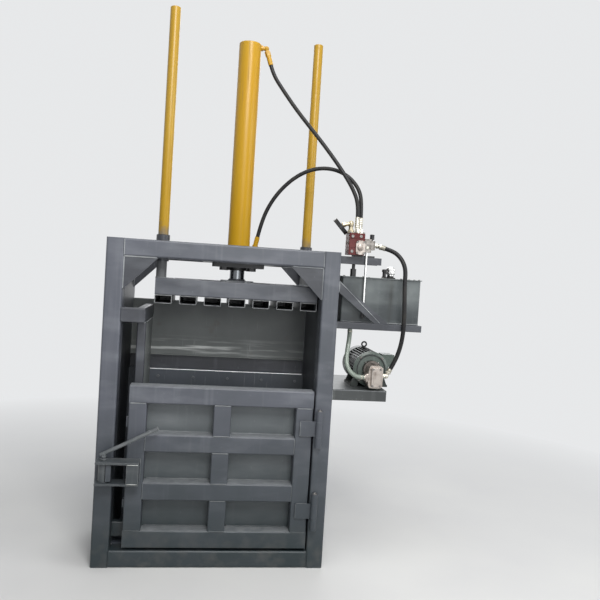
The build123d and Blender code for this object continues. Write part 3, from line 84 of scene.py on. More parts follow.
def noise(place, scale, detail=4.0, stretch=(1.0, 1.0, 1.0)):
    """Noise value from 0 to 1 at a scale per metre, with coordinates stretched per axis first."""
    mapping = node(place, "Mapping")
    mapping.inputs["Scale"].default_value = stretch
    link(place, mapping.inputs["Vector"])
    cloud = node(place, "TexNoise")
    cloud.inputs["Scale"].default_value = scale
    cloud.inputs["Detail"].default_value = detail
    link(mapping.outputs["Vector"], cloud.inputs["Vector"])
    return cloud.outputs["Fac"]


def ramp(value, low, high, start=0.0, end=1.0):
    """Clamped straight-line remap of a value from low..high to start..end."""
    made = node(value, "MapRange")
    made.inputs["From Min"].default_value = low
    made.inputs["From Max"].default_value = high
    made.inputs["To Min"].default_value = start
    made.inputs["To Max"].default_value = end
    link(value, made.inputs["Value"])
    return made.outputs["Result"]


def blend_colour(share, first, second):
    """Mix of two colours, each a socket or an RGB triple, by a share socket."""
    mix = node(share, "Mix", data_type="RGBA")
    link(share, mix.inputs["Factor"])
    for socket, colour in ((mix.inputs[6], first), (mix.inputs[7], second)):
        if isinstance(colour, tuple):
            socket.default_value = (*colour, 1.0)
        else:
            link(colour, socket)
    return mix.outputs[2]


def combine(first, second, operation="MULTIPLY"):
    """Two value sockets joined by one arithmetic operation."""
    made = node(first, "Math", operation=operation)
    link(first, made.inputs[0])
    link(second, made.inputs[1])
    return made.outputs[0]


def height_of(place, axis="Z"):
    """One coordinate of the place, in metres."""
    split = node(place, "SeparateXYZ")
    link(place, split.inputs["Vector"])
    return split.outputs[axis]


def bump(shader, height, strength, distance):
    """Bump from a height socket; distance in metres."""
    made = node(shader, "Bump")
    made.inputs["Strength"].default_value = strength
    made.inputs["Distance"].default_value = distance
    link(height, made.inputs["Height"])
    link(made.outputs["Normal"], shader.inputs["Normal"])


def rubber(name, colour, dust, rough):
    """Dark rubber, plastic or felt: dusty patches and a fine grain like that of wrapping cloth."""
    made, shader, place = new_material(name)
    patches = ramp(noise(place, 14.0), 0.42, 0.72)
    base = blend_colour(patches, colour, dust)
    link(base, shader.inputs["Base Color"])
    link(ramp(patches, 0.0, 1.0, rough, rough + 0.2), shader.inputs["Roughness"])
    shader.inputs["Specular IOR Level"].default_value = 0.3
    bump(shader, noise(place, 900.0, 2.0), 0.35, 0.0006)
    return made


def hose(name, points, diameter, node_name, material):
    """Free hose: a quadratic NURBS line on its route's control points, in mm, with a round bevel."""
    curve = bpy.data.curves.new(name, "CURVE")
    curve.dimensions = "3D"
    spline = curve.splines.new("NURBS")
    spline.points.add(len(points) - 1)
    flat = [c for x, y, z in points for c in (x / 1000, y / 1000, z / 1000, 1.0)]
    spline.points.foreach_set("co", flat)
    spline.order_u = 3
    spline.use_endpoint_u = True
    curve.resolution_u = 24
    curve.bevel_depth = diameter / 2000
    curve.bevel_resolution = 8
    curve.use_fill_caps = True
    curve.materials.append(material)
    made = bpy.data.objects.new(name, curve)
    bpy.context.scene.collection.objects.link(made)
    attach(made, "press")
    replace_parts(made, node_name)


hose_rubber = rubber("hose_rubber", (0.007, 0.007, 0.008), (0.022, 0.021, 0.019), 0.44)
extend_points = [
    (768, -250, 2100), (768, -250, 2172), (738, -238, 2258), (664, -212, 2376), (538, -168, 2542),
    (392, -112, 2716), (286, -63, 2866), (230, -33, 2954), (212.0, -22.92, 3012.3),
]
hose("extend_line", extend_points, 24, "extend_hose", hose_rubber)
retract_points = [
    (794, -222, 2100), (794, -222, 2172), (782, -208, 2264), (720, -180, 2346), (628, -152, 2392),
    (518, -122, 2392), (414, -94, 2346), (322, -64, 2262), (254, -40, 2160), (212, -22, 2050),
    (193.22, -13.81, 1954.66),
]
hose("retract_line", retract_points, 24, "retract_hose", hose_rubber)
delivery_points = [
    (1020.85, -286.28, 1201.27), (1046, -291, 1250), (1068, -308, 1334), (1075, -325, 1424),
    (1072, -335, 1526), (1065, -338, 1630), (1061, -335, 1722), (1061, -335, 1796), (1048, -326, 1843),
    (1024, -308, 1882), (990, -284, 1910), (951.84, -256.17, 1922.57),
]
hose("delivery_line", delivery_points, 26, "delivery_hose", hose_rubber)


# The suction hose from the tank's bottom to the pump: soft grey-green plastic with a buried
# spiral, pushed over its tails and held by two band clamps.
def clear_plastic(name):
    """Milky plastic hose: pale green-grey with a faint spiral banding and dirty patches."""
    made, shader, place = new_material(name)
    bands = node(shader, "TexWave", bands_direction="Z")
    bands.inputs["Scale"].default_value = 52.0
    bands.inputs["Distortion"].default_value = 1.0
    link(place, bands.inputs["Vector"])
    base = blend_colour(ramp(bands.outputs["Fac"], 0.2, 0.8), (0.185, 0.225, 0.19), (0.25, 0.29, 0.25))
    dirt = ramp(noise(place, 22.0, 5.0), 0.5, 0.75, 0.0, 0.6)
    base = blend_colour(dirt, base, (0.11, 0.125, 0.105))
    link(base, shader.inputs["Base Color"])
    shader.inputs["Roughness"].default_value = 0.34
    shader.inputs["Coat Weight"].default_value = 0.25
    bump(shader, bands.outputs["Fac"], 0.25, 0.0008)
    return made


suction_plastic = clear_plastic("suction_plastic")
suction_points = [
    (777, -200, 1425), (777, -200, 1376), (769, -213, 1324), (759, -238, 1273), (754, -262, 1222),
    (767, -274, 1186), (793, -283, 1159), (827, -288, 1144), (859, -288, 1144),
]
hose("suction_line", suction_points, 28, "suction_hose", suction_plastic)


# Hose ends: turned and zinc-plated steel, each a ferrule with crimp grooves, a collar and a hex
# nut, and a forged ball elbow where the line turns into the pump or the valve.
def metal(name, colour, rough, grime, grime_share):
    """Bare or plated metal: fine machining grain, cloudy roughness, and grime gathered in patches."""
    made, shader, place = new_material(name)
    dirt = ramp(noise(place, 26.0, 6.0), 0.72 - grime_share * 0.35, 0.85)
    base = blend_colour(dirt, colour, grime)
    link(base, shader.inputs["Base Color"])
    link(ramp(dirt, 0.0, 1.0, 1.0, 0.3), shader.inputs["Metallic"])
    cloud = ramp(noise(place, 40.0, 3.0), 0.2, 0.8, rough * 0.8, rough * 1.3)
    link(cloud, shader.inputs["Roughness"])
    bump(shader, noise(place, 400.0, 3.0), 0.08, 0.0004)
    return made


def axis_frame(start, end):
    """Unit vector from start to end, two unit vectors across it, and the length between them."""
    start, end = np.asarray(start, float), np.asarray(end, float)
    length = np.linalg.norm(end - start)
    along = (end - start) / length
    side = np.cross(along, (0.0, 0.0, 1.0) if abs(along[2]) < 0.9 else (1.0, 0.0, 0.0))
    side = side / np.linalg.norm(side)
    return along, side, np.cross(along, side), length


def turned(start, end, profile, around=36):
    """Rings of a turned part along start to end, in mm: each profile entry is (distance, radius) or
    (distance, radius, flat), where the radius is cut to flat / cos(angle to the nearest hex face)."""
    along, side, other, _ = axis_frame(start, end)
    angle = np.arange(around) * 2 * np.pi / around
    to_face = (angle % (np.pi / 3)) - np.pi / 6
    rings = []
    for entry in profile:
        radius = np.full(around, float(entry[1]))
        if len(entry) == 3:
            radius = np.minimum(radius, entry[2] / np.cos(to_face))
        circle = np.cos(angle)[:, None] * side + np.sin(angle)[:, None] * other
        rings.append(np.asarray(start) + entry[0] * along + radius[:, None] * circle)
    return np.array(rings) / 1000


def turned_at(place, along, profile, around=36):
    """Turned part that starts at a place, in mm, and points along a unit direction."""
    return turned(place, np.array(place) + np.array(along), profile, around)


def solid_mesh(name, stacks, material, body="press", sharp=35.0):
    """One mesh of several stacks, each an array (rings, points, 3) in metres, capped at both ends unless
    its last ring is its first again; edges sharper than an angle in degrees stay sharp."""
    points, faces, first = [], [], 0
    for rings in stacks:
        count, around = rings.shape[:2]
        index = np.arange(count * around).reshape(count, around) + first
        low, high = index[:-1], index[1:]
        quads = np.stack([low, np.roll(low, -1, 1), np.roll(high, -1, 1), high], -1)
        faces += quads.reshape(-1, 4).tolist()
        if not np.allclose(rings[0], rings[-1]):
            faces += [index[0][::-1].tolist(), index[-1].tolist()]
        points.append(rings.reshape(-1, 3))
        first += count * around
    mesh = bpy.data.meshes.new(name)
    mesh.from_pydata(np.concatenate(points).tolist(), [], faces)
    mesh.polygons.foreach_set("use_smooth", [True] * len(mesh.polygons))
    mesh.set_sharp_from_angle(angle=math.radians(sharp))
    mesh.materials.append(material)
    made = bpy.data.objects.new(name, mesh)
    bpy.context.scene.collection.objects.link(made)
    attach(made, body)
    return made


def crimped_end(hose_end, seat, diameter):
    """Turned ferrule with five crimp grooves, collar and hex nut, from a hose's end to its seat."""
    length = axis_frame(hose_end, seat)[3]
    outer, neck, flat = diameter / 2 + 2.5, diameter / 2 - 1.0, diameter / 2 + 3.4
    corner = flat * 1.16
    ferrule, nut = length * 0.62, length * 0.67
    profile = [(0, diameter / 2 + 0.4), (0.8, outer - 0.5), (2.0, outer)]
    pitch = (ferrule - 6.0) / 5
    for crimp in range(5):
        low = 3.0 + crimp * pitch
        profile += [(low + pitch * 0.2, outer), (low + pitch * 0.35, outer - 1.1)]
        profile += [(low + pitch * 0.75, outer - 1.1), (low + pitch * 0.9, outer)]
    profile += [(ferrule - 1.0, outer), (ferrule, outer - 1.0), (ferrule + 0.1, neck)]
    profile += [(nut - 0.1, neck), (nut, flat * 0.96, flat), (nut + 2.0, corner, flat)]
    profile += [(length - 4.0, corner, flat), (length - 2.0, flat * 0.98, flat)]
    profile += [(length - 1.9, outer - 2.0), (length, outer - 2.0)]
    return turned(hose_end, seat, profile)


def ball_elbow(seat, face, hose_end, ball):
    """Forged elbow: a ball, a hex neck along X to the face, and a round neck towards the hose."""
    seat = np.asarray(seat, float)
    screwed = np.array((face, seat[1], seat[2]))
    sweep = np.linspace(-np.pi / 2 + 0.2, np.pi / 2 - 0.2, 13)
    arc = [(ball * (1 + np.sin(a)), ball * np.cos(a)) for a in sweep]
    along = axis_frame(seat, hose_end)[0]
    neck = axis_frame(seat, screwed)[3]
    flat, corner = ball - 3.4, (ball - 3.4) * 1.16
    hexed = [(0, flat, flat), (2.0, corner, flat), (neck - 1.5, corner, flat), (neck, flat, flat)]
    return [
        turned(seat - along * ball, seat, arc),
        turned(seat, screwed, hexed),
        turned(seat, seat + along, [(0, ball - 4.5), (ball + 2.4, ball - 4.5), (ball + 3, ball - 5)]),
    ]


zinc = metal("zinc_plate", (0.56, 0.54, 0.47), 0.32, (0.10, 0.085, 0.06), 0.5)
valve_top, ball_radius = 2001, 16
top_ends = (extend_points[0], retract_points[0])
line_ends = [crimped_end((x, y, z), (x, y, valve_top), 24) for x, y, z in top_ends]
elbows = (((998, -282, 1157), 969, delivery_points[0]), ((905, -222, 1938), 885, delivery_points[-1]))
for seat, face, hose_end in elbows:
    along = axis_frame(seat, hose_end)[0]
    line_ends += ball_elbow(seat, face, hose_end, ball_radius)
    line_ends.append(crimped_end(hose_end, np.array(seat) + along * (ball_radius + 3), 26))
for seat, hose_end in (((777, -200, 1472), suction_points[0]), ((881, -288, 1144), suction_points[-1])):
    line_ends.append(crimped_end(hose_end, seat, 28))
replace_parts(solid_mesh("turned_hose_ends", line_ends, zinc), "hose_fittings")


# The suction hose's clamps: worm-drive bands of plated strip, drawn tight over the hose's tails,
# each with its screw in a short housing that faces the operator.
def band_clamp(centre, along, radius, out):
    """Band clamp in mm: a thin ring round an axis, and a short screw barrel that stands out of it."""
    centre, along = np.array(centre, float), np.array(along, float)
    band = [(0, radius), (0, radius + 1.0), (9, radius + 1.0), (9, radius), (0, radius)]
    out = np.array(out, float)
    side = np.cross(along, out)
    barrel_centre = centre + along * 4.5 + out * (radius + 4.0)
    screw = [(-9, 2.0), (-9, 3.2), (5, 3.2), (5, 4.4, 3.8), (9, 4.4, 3.8), (9, 2.0)]
    return [turned(centre, centre + along, band), turned(barrel_centre, barrel_centre + side, screw, 24)]


up, down, to_front = (0, 0, 1), (0, 0, -1), (0, -1, 0)
clamps = band_clamp((777, -200, 1406), up, 14.2, to_front)
clamps += band_clamp((841, -288, 1144), (1, 0, 0), 14.2, to_front)
solid_mesh("hose_clamps", clamps, zinc)


# The welded portal: four square posts, top and bottom beams, gussets and base rails of rolled
# hollow section, brushed with slate-grey enamel over mill scale, dusty and dull near the floor and
# darkened there by painted shade.
def dress(material, *names):
    """Puts one material on every slot of these CAD nodes."""
    for name in names:
        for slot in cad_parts[name].material_slots:
            slot.link = "OBJECT"
            slot.material = material


def painted(name, colour, light, dark, rough=0.4, edge=0.45, edge_width=0.004, dust=0.0):
    """Enamel on steel: cloudy tone, faint runs, scuffs, edges rubbed and lit as a painted highlight, a
    dull film with painted shade that darkens it towards the floor, and pale dust with painted top light
    on what faces up."""
    made, shader, place = new_material(name)
    high = height_of(place)
    clouds = ramp(noise(place, 2.2, 5.0), 0.36, 0.62)
    base = blend_colour(clouds, dark, colour)
    smears = ramp(noise(place, 6.0, 5.0, (0.5, 0.5, 1.6)), 0.5, 0.78, 0.0, 0.55)
    base = blend_colour(smears, base, light)
    runs = ramp(noise(place, 26.0, 3.0, (1.0, 1.0, 0.06)), 0.58, 0.8, 0.0, 0.3)
    base = blend_colour(runs, base, light)
    scuffs = ramp(noise(place, 70.0, 8.0, (1.0, 1.0, 0.4)), 0.67, 0.75, 0.0, 0.5)
    base = blend_colour(scuffs, base, light)
    # Edges lightened where the bevel bends the normal: rubbed paint and a painted highlight on every
    # edge.
    bevel = node(shader, "Bevel", samples=6)
    bevel.inputs["Radius"].default_value = edge_width
    geometry = node(shader, "NewGeometry")
    facing = node(shader, "VectorMath", operation="DOT_PRODUCT")
    link(bevel.outputs["Normal"], facing.inputs[0])
    link(geometry.outputs["Normal"], facing.inputs[1])
    rubbed_and_highlit = ramp(facing.outputs["Value"], 0.995, 0.9, 0.0, edge)
    rubbed_and_highlit = combine(rubbed_and_highlit, ramp(noise(place, 45.0, 4.0), 0.3, 0.6))
    base = blend_colour(rubbed_and_highlit, base, light)
    # A dull film near the floor that also paints in the shade deepening towards it: painted shade.
    patchy = ramp(noise(place, 3.0, 5.0), 0.3, 0.7, 0.85, 1.1)
    film_and_shade = combine(ramp(high, 0.95, 0.1, 0.0, 0.95), patchy)
    base = blend_colour(film_and_shade, base, (0.020, 0.030, 0.034))
    spots = ramp(noise(place, 14.0, 6.0), 0.45, 0.75, 0.0, 0.5)
    splash = combine(ramp(high, 0.3, 0.0), spots)
    base = blend_colour(splash, base, (0.115, 0.11, 0.10))
    # Pale dust on faces that look up, lightened further as painted top light.
    if dust:
        lying = ramp(height_of(geometry.outputs["Normal"]), 0.8, 0.98, 0.0, dust)
        dust_and_top_light = combine(lying, ramp(noise(place, 18.0, 5.0), 0.3, 0.6, 0.6, 1.0))
        base = blend_colour(dust_and_top_light, base, (0.36, 0.375, 0.39))
    link(base, shader.inputs["Base Color"])
    worn = combine(scuffs, splash, "MAXIMUM")
    link(ramp(worn, 0.0, 0.8, rough, rough + 0.3), shader.inputs["Roughness"])
    shader.inputs["Specular IOR Level"].default_value = 0.45
    brush = noise(place, 240.0, 3.0, (1.0, 1.0, 0.3))
    bump(shader, brush, 0.18, 0.0006)
    return made


slate_tones = ((0.090, 0.097, 0.118), (0.19, 0.20, 0.225), (0.064, 0.071, 0.084))
slate = painted("slate_enamel", *slate_tones)
# A darker copy of the slate enamel: painted shade on the parts it goes on.
shaded_slate = painted("shaded_slate", (0.047, 0.050, 0.060), (0.12, 0.13, 0.145), (0.033, 0.036, 0.043))
dress(slate, "frame_posts", "frame_beams", "base_rails", "head_frame")
# The side panels take a much darker copy of the slate enamel: painted shade inside the chamber.
dress(painted("shaded_side_slate", (0.040, 0.043, 0.052), (0.10, 0.107, 0.12), (0.028, 0.031, 0.037)),
      "side_panels")
dress(shaded_slate, "corner_gussets", "guide_sleeves")


# Weld beads of the portal: overlapping puddles of weld metal along each joint, dressed roughly
# and painted over in a paler paint that paints in the light they catch, so they show as pale lines.
def bead_rings(start, end, radius, pitch=0.007):
    """Rings of one weld bead: radius swells at each puddle (rectified sine) and tapers at both ends."""
    start, end = np.array(start, float) / 1000, np.array(end, float) / 1000
    along, side, other, length = axis_frame(start, end)
    radius = radius / 1000
    distance = np.linspace(0.0, length, max(9, int(length / pitch * 4)))
    puddle = 0.78 + 0.22 * np.abs(np.sin(np.pi * distance / pitch))
    wander = 1.0 + 0.1 * np.sin(distance * 61.0 + 900.0 * start.sum())
    taper = np.sqrt(np.clip(np.minimum(distance, length - distance) / radius + 0.15, 0.0, 1.0))
    size = radius * puddle * wander * taper
    angle = np.linspace(0.0, 2 * np.pi, 9)[:-1]
    circle = np.cos(angle)[:, None] * side + np.sin(angle)[:, None] * other
    return start + distance[:, None, None] * along + size[:, None, None] * circle


def weld(name, lines, material, body="press"):
    """One piece of several weld beads: each line is (start, end, radius) in millimetres."""
    solid_mesh(name, [bead_rings(*line) for line in lines], material, body, 80.0)


def ring_lines(centre, radius, height, bead, parts=24):
    """Weld beads that follow a circle round the Z axis, as short chords."""
    angles = [number * math.tau / parts for number in range(parts + 1)]
    x, y = centre
    corners = [(x + radius * math.cos(a), y + radius * math.sin(a), height) for a in angles]
    return [(start, end, bead) for start, end in zip(corners, corners[1:])]


# The beads' paint is paler than the enamel round them: a painted highlight on each bead.
weld_highlight_paint = painted("weld_highlight_paint", (0.24, 0.255, 0.265), (0.58, 0.60, 0.60), (0.14, 0.15, 0.16),
                     edge=0.0)
front, rear = -330.0, 330.0
rod_places = ((-370, -185), (530, 175))
portal_lines = []
for side in (-1, 1):
    edge = side * 570
    for face in (front, rear):
        portal_lines.append(((edge, face, 1784), (edge, face, 1878), 2.6))
        portal_lines.append(((edge, face, 3), (edge, face, 97), 2.6))
    for face in (-322, 238):
        portal_lines.append(((edge, face, 1776), (edge, face, 1596), 4.0))
        portal_lines.append(((edge, face, 1779), (edge - side * 182, face, 1779), 4.0))
    for height in (420, 460, 900, 940, 1380, 1420):
        portal_lines.append(((side * 577, -226, height), (side * 577, 226, height), 3.0))
for x in (-140, -40, 200, 300):
    for face in (-230, 230):
        portal_lines.append(((x, face, 1786), (x, face, 1874), 3.5))
for rod_place in rod_places:
    portal_lines += ring_lines(rod_place, 40, 1880, 3.0)
weld("portal_welds", portal_lines, weld_highlight_paint)


# The chamber: floor, liners and back of plain plate, painted once and scraped by the waste that
# slides down them, with painted shade high up and towards the right; the ledge's front edge is
# rubbed bright and carries a painted highlight.
def scraped(name, colour, bare, dark, share):
    """Painted plate worn by sliding waste: scratches down it, sideways ones in a belt, painted shade
    high up and towards the right, and rust.
    """
    made, shader, place = new_material(name)
    clouds = ramp(noise(place, 3.0, 5.0), 0.35, 0.68)
    base = blend_colour(clouds, dark, colour)
    high = height_of(place)
    fine = noise(place, 90.0, 6.0, (1.0, 1.0, 0.05))
    sideways = noise(place, 50.0, 6.0, (0.06, 1.0, 1.0))
    worn = ramp(fine, 0.66 - share * 0.1, 0.74, 0.0, 0.45)
    worn = combine(worn, ramp(noise(place, 3.0, 3.0), 0.4, 0.65, 0.15, 1.0))
    belt = combine(ramp(high, 1.16, 1.19), ramp(high, 1.30, 1.21))
    crossing = combine(ramp(sideways, 0.5, 0.66, 0.0, 0.9), belt)
    worn = combine(worn, crossing, "MAXIMUM")
    base = blend_colour(worn, base, bare)
    # Painted shade: darker above 1.34 m, in the platen's shadow, and towards the right, in the post's
    # shade.
    far_side_shade = ramp(height_of(place, "X"), 0.22, 0.58, 0.0, 0.6)
    painted_shade = combine(ramp(high, 1.34, 1.5, 0.0, 0.7), far_side_shade, "MAXIMUM")
    painted_shade = combine(painted_shade, ramp(noise(place, 4.0), 0.3, 0.6, 0.7, 1.0))
    base = blend_colour(painted_shade, base, (0.035, 0.039, 0.040))
    rust = ramp(noise(place, 9.0, 8.0), 0.66, 0.8, 0.0, 0.4)
    base = blend_colour(rust, base, (0.10, 0.062, 0.04))
    link(base, shader.inputs["Base Color"])
    link(ramp(worn, 0.0, 1.0, 0.5, 0.34), shader.inputs["Roughness"])
    link(ramp(worn, 0.0, 1.0, 0.0, 0.6), shader.inputs["Metallic"])
    bump(shader, fine, 0.15, 0.0006)
    return made


dress(scraped("upper_plate", (0.185, 0.20, 0.197), (0.42, 0.43, 0.42), (0.13, 0.142, 0.14), 0.2),
      "back_upper_plate", "left_wall_liner")
dress(scraped("liner_plate", (0.058, 0.067, 0.082), (0.36, 0.37, 0.38), (0.040, 0.047, 0.058), 0.3),
      "back_liner", "chamber_floor")
dress(shaded_slate, "left_wall_frame", "back_rails")
# A bright bare strip along the ledge's front edge: worn steel, and a painted highlight of that lit edge.
worn_edge_highlight = metal("worn_edge_highlight", (0.86, 0.87, 0.89), 0.5, (0.40, 0.40, 0.40), 0.2)
ledge_length, ledge_radius = 996, 2.8
ledge_bar = [(0, ledge_radius), (ledge_length, ledge_radius)]
solid_mesh("ledge_edge", [turned_at((-437, 220.6, 1070.8), (1, 0, 0), ledge_bar, 16)], worn_edge_highlight)
chamber_lines = [
    ((-438, -329, 1407), (-438, -282, 1407), 2.4),
    ((-488, -229, 236), (-488, -182, 236), 2.4),
    ((-486, -229, 1405), (-440, -229, 1405), 3.0),
    ((-438, -178, 1404), (-438, 218, 1404), 3.0),
]
weld("chamber_welds", chamber_lines, weld_highlight_paint)


# The platen: a welded box of square section with seven tubes under it, open in front and dark
# inside, their rims rubbed and lit as a painted highlight, and a plate and collar at the rod's foot.
rod_axis, beam_top = (80, -5), 1669
dress(painted("platen_enamel", (0.070, 0.076, 0.092), (0.18, 0.19, 0.21), (0.050, 0.055, 0.066)),
      "platen_beams", "rod_plate")
# The tubes' rims take strong rubbed edges that are also a painted highlight.
dress(painted("tube_enamel", (0.055, 0.06, 0.068), (0.40, 0.41, 0.41), (0.035, 0.039, 0.045),
              edge=0.95, edge_width=0.003), "platen_tubes")
platen_lines = ring_lines(rod_axis, 46, 1682, 4.5)
for x in (-17, 177):
    platen_lines.append(((x, -100, beam_top), (x, 90, beam_top), 3.5))
for y in (-102, 92):
    platen_lines.append(((-15, y, beam_top), (175, y, beam_top), 3.5))
for rod_place in rod_places:
    platen_lines += ring_lines(rod_place, 30, beam_top, 4.0)
for number in range(7):
    left = -400 + number * 860 / 6
    for x in (left + 3, left + 97):
        platen_lines.append(((x, -213, 1568), (x, 203, 1568), 2.2))
weld("platen_welds", platen_lines, weld_highlight_paint, "platen")


# The guide rods: thick bar in yellow enamel, grey where the brush stopped short of the sleeves,
# with a felt wiper ring pressed into each sleeve's top.
def two_tone(name, colour, light, base_colour, low, high):
    """Yellow enamel, glossier towards its top, that gives way to grey overspray below a ragged height,
    with rubbed streaks."""
    made, shader, place = new_material(name)
    rise = height_of(place)
    ragged = combine(rise, ramp(noise(place, 30.0, 5.0), 0.3, 0.7, -0.03, 0.03), "ADD")
    yellow = ramp(ragged, low, high)
    clouds = ramp(noise(place, 5.0, 5.0, (1.0, 1.0, 0.3)), 0.35, 0.7)
    paint = blend_colour(clouds, colour, light)
    streaks = ramp(noise(place, 60.0, 6.0, (1.0, 1.0, 0.05)), 0.6, 0.74, 0.0, 0.4)
    paint = blend_colour(streaks, paint, (0.20, 0.13, 0.04))
    base = blend_colour(yellow, base_colour, paint)
    link(base, shader.inputs["Base Color"])
    link(ramp(streaks, 0.0, 0.35, 0.32, 0.6), shader.inputs["Roughness"])
    link(ramp(rise, 1.95, 2.7, 0.1, 0.42), shader.inputs["Specular IOR Level"])
    bump(shader, noise(place, 160.0, 3.0, (1.0, 1.0, 0.2)), 0.12, 0.0006)
    return made


dress(two_tone("rod_yellow", (0.37, 0.215, 0.012), (0.40, 0.25, 0.035), (0.13, 0.135, 0.14),
               1.90, 1.985), "guide_rods")
felt = rubber("felt_wiper", (0.03, 0.029, 0.027), (0.07, 0.065, 0.055), 0.8)
wiper = [(0, 30.3), (0, 37.5), (2.5, 37.5), (3.5, 34.5), (3.5, 30.3), (0, 30.3)]
wipers = [turned_at((x, y, 1916), up, wiper, 48) for x, y in rod_places]
solid_mesh("sleeve_wipers", wipers, felt)


# The cylinder: a thick tube in yellow enamel, painted with its elbows and hose ends, on a black
# flange that four oily bolts hold up against the head frame.
barrel_yellow = two_tone("barrel_yellow", (0.42, 0.225, 0.006), (0.42, 0.25, 0.018), (0.16, 0.12, 0.045),
                         1.80, 1.86)
dress(barrel_yellow, "cylinder_barrel")
dress(metal("rod_steel", (0.17, 0.18, 0.19), 0.2, (0.05, 0.05, 0.052), 0.15), "piston_rod")
black_enamel = painted("black_enamel", (0.010, 0.011, 0.012), (0.05, 0.05, 0.052), (0.006, 0.006, 0.007))
dress(black_enamel, "cylinder_flange", "valve_subplate")


def reopened(made):
    """A finished material to go on with: its shader, object coordinates and colour so far."""
    shader = made.node_tree.nodes["Principled BSDF"]
    place = node(shader, "TexCoord").outputs["Object"]
    return shader, place, shader.inputs["Base Color"].links[0].from_socket


def bolt_finish(name):
    """Black oily enamel on the flange's bolts, and slate enamel on those of the liner below 1.3 m."""
    made = painted(name, (0.10, 0.11, 0.12), (0.40, 0.41, 0.40), (0.07, 0.078, 0.09))
    shader, place, slate_part = reopened(made)
    upper = ramp(height_of(place), 1.3, 1.31)
    link(blend_colour(upper, slate_part, (0.012, 0.012, 0.013)), shader.inputs["Base Color"])
    return made


dress(bolt_finish("bolt_finish"), "frame_bolts")
crimps = []
for hose_end, seat in ((extend_points[-1], (180, -5, 3116)), (retract_points[-1], (173, -5, 1852))):
    for distance in (10, 20, 30, 40):
        ridge = [(distance, 14.5), (distance + 1, 15.3), (distance + 4, 15.3), (distance + 5, 14.5)]
        crimps.append(turned(hose_end, seat, ridge))
solid_mesh("crimp_ridges", crimps, barrel_yellow)
weld("barrel_weld", ring_lines(rod_axis, 69, 1805, 4.0, 36), black_enamel)
gland_ring = [(0, 45.3), (0, 55), (3, 55), (5, 50), (5, 45.3), (0, 45.3)]
solid_mesh("rod_wiper", [turned_at((*rod_axis, 1743), down, gland_ring, 48)], felt)


# The door: a lattice of hollow section with a plate skin behind it, on two pin hinges at the
# right, every joint of the lattice closed by a short bead.
dress(slate, "hinge_leaves", "hinge_posts", "latch_keeper")
# The rails and stiles take pale dust and painted top light on their upper faces.
dress(painted("door_enamel", *slate_tones, dust=0.5), "door_rails", "door_stiles")
dress(painted("door_skin_enamel", (0.140, 0.155, 0.163), (0.24, 0.255, 0.265), (0.105, 0.12, 0.127)),
      "door_skin")
door_lines = []
door_levels = [115 + row * 835 / 3 for row in range(4)]
for x in (-500, 460):
    for z in (950, 215):
        door_lines.append(((x + 6, front, z), (x + 94, front, z), 3.2))
for row in range(3):
    low, high = door_levels[row] + 100, door_levels[row + 1]
    for z in (low, high):
        door_lines.append(((-17, front, z), (77, front, z), 3.2))
    # Broad pale beads along the foot of each panel: a painted highlight of the ledges' lit edges.
    for left, right_edge in ((-400, -20), (80, 460)):
        door_lines.append(((left + 8, -240, low + 1), (right_edge - 8, -240, low + 1), 5.5))
for level in door_levels[1:3]:
    for x in (-400, 460):
        door_lines.append(((x, front, level + 5), (x, front, level + 95), 2.4))
for z in (301, 789):
    door_lines.append(((487, -341, z + 2), (487, -341, z + 86), 3.0))
    for end in (z, z + 88):
        door_lines.append(((489, -334, end), (558, -334, end), 3.0))
for low, high in ((342, 388), (807, 864)):
    door_lines.append(((-501, -301, low), (-501, -301, high), 2.6))
door_lines.append(((-418, -333, 506), (-418, -333, 630), 3.6))
weld("door_welds", door_lines, weld_highlight_paint, "door")
hinge_heights = (345, 835)
hinge_lines = []
for centre in hinge_heights:
    for low, high in ((centre - 107, centre - 46), (centre + 46, centre + 107)):
        hinge_lines.append(((616, -333, low + 2), (616, -333, high - 2), 3.2))
weld("hinge_welds", hinge_lines, weld_highlight_paint)
worn_pin = metal("worn_pin", (0.30, 0.29, 0.28), 0.4, (0.06, 0.05, 0.04), 0.6)
pin_head = [(0, 13), (0.1, 14), (4, 14), (6, 11), (6.1, 4), (9, 3), (10, 1.5)]
pins = [turned_at((596, -352, z + 107), up, pin_head, 32) for z in hinge_heights]
solid_mesh("hinge_pin_heads", pins, worn_pin)


# The latch: a round shaft with a flat, turned by a long bar handle, in enamel rubbed through by
# hands and the keeper; washers and a collar hold the shaft in the bracket's two plates.
latch_paint = painted("latch_enamel", (0.10, 0.108, 0.118), (0.34, 0.345, 0.34), (0.07, 0.076, 0.083),
                      edge=0.8)
dress(latch_paint, "latch_shaft", "latch_bracket")
# The handle's enamel is a lighter copy of the latch's: painted light on the bar.
dress(painted("handle_lit_enamel", (0.125, 0.134, 0.14), (0.42, 0.43, 0.43), (0.11, 0.12, 0.125),
              rough=0.3, edge=0.8), "latch_lever")
collar = [(0, 12.2), (0, 19), (1, 20), (7, 20), (8, 19), (8, 12.2), (0, 12.2)]
washer = [(0, 12.2), (0, 18), (2.5, 18), (2.5, 12.2), (0, 12.2)]
latch_axis = (-614, -385)
latch_rings = ((501.5, down, washer), (634.5, up, washer), (637.5, up, collar))
latch_parts = [turned_at((*latch_axis, z), along, ring, 32) for z, along, ring in latch_rings]
solid_mesh("latch_collars", latch_parts, latch_paint, "latch")
# Two pale beads of bare weld metal on the latch block, lightened as a painted highlight of its edges.
bare_weld_highlight = metal("bare_weld_highlight", (0.34, 0.35, 0.34), 0.5, (0.15, 0.15, 0.145), 0.8)
block_lines = [((-482, -430, z), (-422, -430, z), 3.0) for z in (514, 622)]
weld("latch_block_welds", block_lines, bare_weld_highlight, "door")
weld("lever_weld", ring_lines(latch_axis, 12, 658, 3.0, 12), weld_highlight_paint, "latch")
